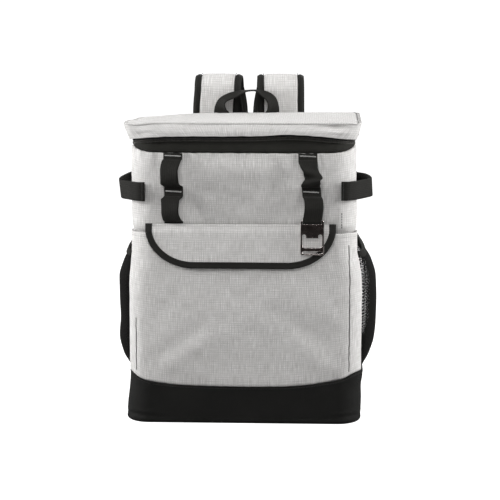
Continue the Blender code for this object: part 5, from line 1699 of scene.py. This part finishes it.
def net_cells(width, height):
    """A flat honeycomb: its corner and hole points in metres, and the faces round each hole."""
    columns = int(width / (math.sqrt(3) * NET_CELL)) + 1
    rows = int(height / (1.5 * NET_CELL)) + 1
    points = []
    faces = []
    corner_index = {}
    for row in range(rows):
        for column in range(columns):
            centre = (math.sqrt(3) * NET_CELL * (column + 0.5 * (row % 2)), 1.5 * NET_CELL * row)
            outer = []
            hole = []
            for corner in range(6):
                angle = math.radians(30 + 60 * corner)
                reach = (NET_CELL * math.cos(angle), NET_CELL * math.sin(angle))
                place = (centre[0] + reach[0], centre[1] + reach[1])
                key = (round(place[0] / NET_CELL * 20), round(place[1] / NET_CELL * 20))
                if key not in corner_index:
                    corner_index[key] = len(points)
                    points.append(place)
                outer.append(corner_index[key])
                hole.append(len(points))
                points.append((centre[0] + NET_HOLE * reach[0], centre[1] + NET_HOLE * reach[1]))
            for corner in range(6):
                beside = (corner + 1) % 6
                faces.append((outer[corner], outer[beside], hole[beside], hole[corner]))
    return np.array(points), faces


def make_net_pockets():
    """Bulging net pockets with an elastic top edge."""
    height = NET_TOP - BOOT_FRONT_HEIGHT - SEAM_RISE[-1]
    binding_share = 1 - NET_BINDING_HEIGHT / (NET_TOP - BOOT_FRONT_HEIGHT)
    flat, faces = net_cells(NET_WIDTH, height * binding_share)
    low, high = flat.min(axis=0), flat.max(axis=0)
    along = (flat[:, 0] - low[0]) / (high[0] - low[0])
    share = (flat[:, 1] - low[1]) / (high[1] - low[1]) * (binding_share + 0.01)
    slack = rumple(at_height(flat, 0.0), NET_SLACK)
    edge = np.sin(math.pi * along) * np.sin(math.pi * np.clip(share, 0, 1))
    loops = flat[np.array(faces).ravel()]
    for side, name, bulges in ((1, "right", NET_BULGE_RIGHT), (-1, "left", NET_BULGE_LEFT)):
        base = net_point(along, share, NET_CORD, bulges)
        base[:, 0] += slack * edge - 0.0004
        used = faces if side > 0 else [face[::-1] for face in faces]
        uvs = loops if side > 0 else flat[np.array(used).ravel()]
        net = add_mesh("net_" + name, sway(base * (side, 1, 1)), used, uvs, [NET])
        add_wall(net, NET_CORD)
        dress(net, ["mesh_pocket_" + name])
        top_line = np.linspace(0, 1, 140)
        rings = []
        for at in (binding_share, 1.0):
            ring = net_point(top_line, at, NET_BINDING_THICKNESS / 2, bulges)
            ring[:, 0] += gathers(ring[:, 1], NET_TAPE_GATHERS) + 0.0004
            ring[:, 2] += gathers(ring[:, 1], NET_TAPE_WAVER)
            rings.append(sway(ring * (side, 1, 1)))
        edge_tape = add_strip("net_edge_tape_" + name, *rings, NET_BINDING_THICKNESS, BINDING, 6)
        dress(edge_tape, ["mesh_binding_" + name])


def beyond_lid(x, y, z):
    """A place at depth y that the camera sees where it sees this x and z at the handle's view depth."""
    beyond = y - HANDLE_VIEW_DEPTH
    return (x + beyond * (x - CAMERA_PLACE[0]) / HANDLE_VIEW_DISTANCE, y, z - HANDLE_VIEW_DROP * beyond)


def make_handle():
    """A webbing arch behind the lid: flat on the back wall, turned edge on over the lid."""
    half = HANDLE_SPACING / 2
    sewn_y = BODY_BACK + GAP + WEBBING_THICKNESS / 2
    clear_y = BODY_BACK + LID_BACK_OVERHANG + 2 * GAP + WEBBING_THICKNESS / 2
    seam = LID_EDGE_HEIGHT - LID_CORNER_DROP
    low = seam - HANDLE_SEAM_DROP - HANDLE_SEWN_LENGTH
    outer = []
    inner = []
    for edge in HANDLE_EDGES:
        seen = math.hypot(edge.outer_x - edge.inner_x, edge.outer_z - edge.inner_z)
        depth = 0.6 * math.sqrt(max(0.0, WEBBING_WIDTH ** 2 - seen ** 2))
        outer.append(beyond_lid(edge.outer_x, clear_y, edge.outer_z))
        inner.append(beyond_lid(edge.inner_x, clear_y - depth, edge.inner_z))
    for side, _ in SIDES:
        end = 0 if side < 0 else -1
        middle = (outer[end][0] + inner[end][0]) / 2
        legs = (
            (middle, clear_y, LID_TOP - 0.012),
            (side * half, sewn_y, low + 0.75 * HANDLE_SEWN_LENGTH),
            (side * half, sewn_y, low),
        )
        for x, y, z in legs:
            outer.insert(0 if side < 0 else len(outer), (x + side * WEBBING_WIDTH / 2, y, z))
            inner.insert(0 if side < 0 else len(inner), (x - side * WEBBING_WIDTH / 2, y, z))
    edges = (smooth_route(outer, 150), smooth_route(inner, 150))
    handle = add_strip("handle_webbing", *edges, WEBBING_THICKNESS, WEBBING, 10)
    dress(handle, ["grab_handle"])
    tacks = []
    for x in (-half, half):
        for z in (low + 0.004, low + 0.022):
            spot = (x, sewn_y + WEBBING_FACE, z)
            tacks.append(tack_threads(spot, (1, 0, 0), (0, 0, 1), (0, 1, 0), TACK_WIDTH, TACK_HEIGHT))
    threads = add_threads("handle_bartacks", tacks, DARK_THREAD, DARK_TACK_RADIUS)
    dress(threads)


def strap_route(side):
    """Middle of a shoulder strap: sewn to the back wall, up, over and down behind the bag."""
    x = STRAP_SPACING / 2
    lean = STRAP_LEAN[(side + 1) // 2]
    front_y = BODY_BACK + LID_BACK_OVERHANG + WEBBING_THICKNESS + 5 * GAP + STRAP_THICKNESS / 2
    sewn_y = BODY_BACK + WEBBING_THICKNESS + 3 * GAP + STRAP_SEWN_THICKNESS / 2
    back_y = front_y + STRAP_ARCH_DEPTH
    radius = STRAP_ARCH_DEPTH / 2
    arch_z = STRAP_TOP - STRAP_THICKNESS / 2 - radius
    fall = arch_z - STRAP_END_HEIGHT
    near = 0.56 * STRAP_WIDTH
    leaving_z = STRAP_SEWN_HEIGHT + 0.35 * (LID_TOP - STRAP_SEWN_HEIGHT)
    rise = [
        (x, sewn_y, STRAP_SEWN_HEIGHT),
        (x + lean / 2, sewn_y + 0.1 * STRAP_THICKNESS, leaving_z),
        (x + lean, front_y, LID_TOP),
        (x, front_y, arch_z),
    ]
    down = [
        (x - 0.04 * STRAP_WIDTH, back_y, arch_z),
        (near, back_y + 0.15 * radius, arch_z - 0.11 * fall),
        (near + 0.02 * STRAP_WIDTH, back_y + 0.15 * radius, arch_z - 0.27 * fall),
        (x + 0.10 * STRAP_WIDTH, back_y + 0.05 * radius, arch_z - 0.54 * fall),
        (x + 0.8 * STRAP_END_SPREAD, back_y - 0.25 * radius, arch_z - 0.82 * fall),
        (x + STRAP_END_SPREAD, back_y - 0.5 * radius, STRAP_END_HEIGHT),
    ]
    share = np.arange(1, 24) / 24
    angle = math.pi * share
    arch = np.column_stack([
        x - 0.04 * STRAP_WIDTH * ease(share),
        front_y + radius * (1 - np.cos(angle)),
        arch_z + radius * np.sin(angle),
    ])
    return np.vstack([smooth_route(rise, 24), arch, smooth_route(down, 60)]) * (side, 1, 1)


def make_shoulder_straps():
    """Padded straps: crowned cloth pad, black lining, and binding rolled over both edges."""
    for side, name in SIDES:
        route = strap_route(side)
        direction = tangents(route)
        across = unit(np.array([1.0, 0.0, 0.0]) - direction * direction[:, :1])
        outward = np.cross(across, direction)
        steps = len(route) - 1
        step = np.arange(len(route))
        half = STRAP_WIDTH / 2
        inner = half - STRAP_BINDING_WIDTH * 0.8
        sewn = 1 - ease((route[:, 2] - STRAP_SEWN_HEIGHT) / (LID_TOP - STRAP_SEWN_HEIGHT))
        sewn[step > steps / 2] = 0.0
        thick = STRAP_THICKNESS + sewn * (STRAP_SEWN_THICKNESS - STRAP_THICKNESS)
        width = (0.6 + 0.4 * ease((steps - step) / 16))[:, None]
        soft = rumple(route, STRAP_WAVES[side > 0])[:, None]
        pad_middle = route + outward * (STRAP_LINING_THICKNESS / 2 + soft)
        reach = across * inner * width
        edges = (pad_middle - reach, pad_middle + reach)
        filled = thick - 2 * STRAP_LINING_THICKNESS
        pad = add_strip("strap_pad_" + name, *edges, filled, SHELL_CLOTH, 14, crown=0.10)
        dress(pad, ["shoulder_strap_" + name])
        back = route - outward * (thick / 2 - STRAP_LINING_THICKNESS / 2)[:, None]
        edges = (back - reach, back + reach)
        lining = add_strip("strap_lining_cloth_" + name, *edges, STRAP_LINING_THICKNESS, LINING, 8)
        dress(lining, ["strap_lining_" + name])
        threads = []
        for sign in (-1, 1):
            place = ("inner_" if sign * side < 0 else "outer_") + name
            far = route + across * sign * half * width
            near = route + across * sign * (half - STRAP_BINDING_WIDTH) * width
            edges = (near, far) if sign > 0 else (far, near)
            rolled = thick + 0.0006
            tape = add_strip("strap_edge_tape_" + place, *edges, rolled, BINDING, 5, -0.10, -0.10)
            dress(tape, ["strap_binding_" + place])
            line = route + across * sign * (half - STRAP_BINDING_WIDTH + 0.0016) * width
            line = line + outward * (thick / 2 + 0.0004)[:, None]
            threads.append(stitches_along(line, outward))
        sewn_threads = add_threads("strap_topstitching_" + name, threads, DARK_THREAD)
        dress(sewn_threads)
        make_buckle(side, name, route[-1], across[-1], outward[-1])


def make_buckle(side, name, end, across, outward):
    """A plain ladder buckle at the strap's end, and the webbing that goes from it to the boot."""
    down = np.cross(outward, across)
    half = BUCKLE_WIDTH / 2
    slot = half - BUCKLE_BAR * 0.8
    slot_low = -BUCKLE_HEIGHT + BUCKLE_BAR
    outlines = [
        rounded_box(-half, half, -BUCKLE_HEIGHT, 0, BUCKLE_BAR / 2),
        rounded_box(-slot, slot, slot_low, slot_low + BUCKLE_SLOT_HEIGHT, BUCKLE_BAR / 4),
    ]
    top = end + down * GAP
    place = turned_place(top, across, -down)
    buckle = add_plate("ladder_buckle_" + name, outlines, BUCKLE_THICKNESS, 0.0007, [BUCKLE], place)
    dress(buckle, ["strap_buckle_" + name])

    bar = top + down * (BUCKLE_HEIGHT - BUCKLE_BAR / 2)
    turn = math.hypot(BUCKLE_BAR, BUCKLE_THICKNESS) / 2 + 2 * GAP + WEBBING_THICKNESS / 2
    bend = bight(bar, down, outward, turn, 0, 180, 18)
    tail_end = bend[0] + down * WEBBING_TAIL
    anchor_y = BASE_DEPTH / 2 + GAP + WEBBING_THICKNESS / 2
    anchor = np.array([side * WEBBING_ANCHOR_SPREAD, anchor_y, WEBBING_ANCHOR_HEIGHT * 0.7])
    landing = np.array([side * WEBBING_ANCHOR_SPREAD * 0.95, anchor_y, WEBBING_ANCHOR_HEIGHT * 1.1])
    leave = bend[-1] + down * 0.8 * BUCKLE_HEIGHT
    middle = leave + 0.55 * (landing - leave)
    fall = smooth_route([bend[-1], leave, middle, landing, anchor], 56)
    fall[:, 1] = np.maximum(fall[:, 1], anchor_y)
    tail = np.array([tail_end, *(bend[0] + share * (tail_end - bend[0]) for share in (0.6, 0.3))])
    webbing = np.vstack([tail, bend, fall[1:]])
    direction = tangents(webbing)
    first_free = len(tail) + len(bend)
    share = ease((np.arange(len(webbing)) - first_free) / 24)[:, None]
    level = unit(np.cross(direction, (0.0, 1.0, 0.0)))
    level *= np.sign(level @ across)[:, None]
    sides = unit(across * (1 - share) + level * share)
    strap = add_strip("lower_strap_" + name, *webbing_edges(webbing, sides), WEBBING_THICKNESS, WEBBING, 8)
    dress(strap, ["lower_webbing_" + name])
    spot = anchor + (0.0, WEBBING_FACE, 0.006)
    tack = tack_threads(spot, level[-1], direction[-1], (0, 1, 0), TACK_WIDTH, TACK_HEIGHT)
    dress(add_threads("lower_bartack_" + name, [tack], DARK_THREAD, DARK_TACK_RADIUS))


def make_slider():
    """The zip's slider and its pull, at the right end of the zip."""
    low, high = (np.array(corner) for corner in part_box("zip_slider"))
    middle = (low + high) / 2
    size = high - low
    body = rounded_box(-size[1] / 2, size[1] / 2, -size[2] / 2, size[2] / 2, size[2] / 3)
    place = turned_place(middle, (0, 1, 0), (0, 0, 1))
    slider = add_plate("slider_body", [body], size[0], 0.0008, [OPENER_METAL], place)
    dress(slider, ["zip_slider"])
    pull = [
        rounded_box(-0.003, 0.003, -0.024, 0.0, 0.0022),
        rounded_box(-0.0014, 0.0014, -0.006, -0.0022, 0.0010),
    ]
    hang = middle + np.array([size[0] / 2 + 0.0009, -0.002, 0.001])
    place = turned_place(hang, (0, -0.2, 1), (0, -1, -0.2))
    tab = add_plate("slider_pull", pull, 0.0014, 0.0004, [OPENER_METAL], place)
    dress(tab)


add_camera()
add_studio()
make_boot()
make_tub()
make_pocket()
make_flap()
make_lid()
make_zip()
make_slider()
make_daisy_straps()
make_opener()
make_side_loops()
make_net_pockets()
make_handle()
make_shoulder_straps()
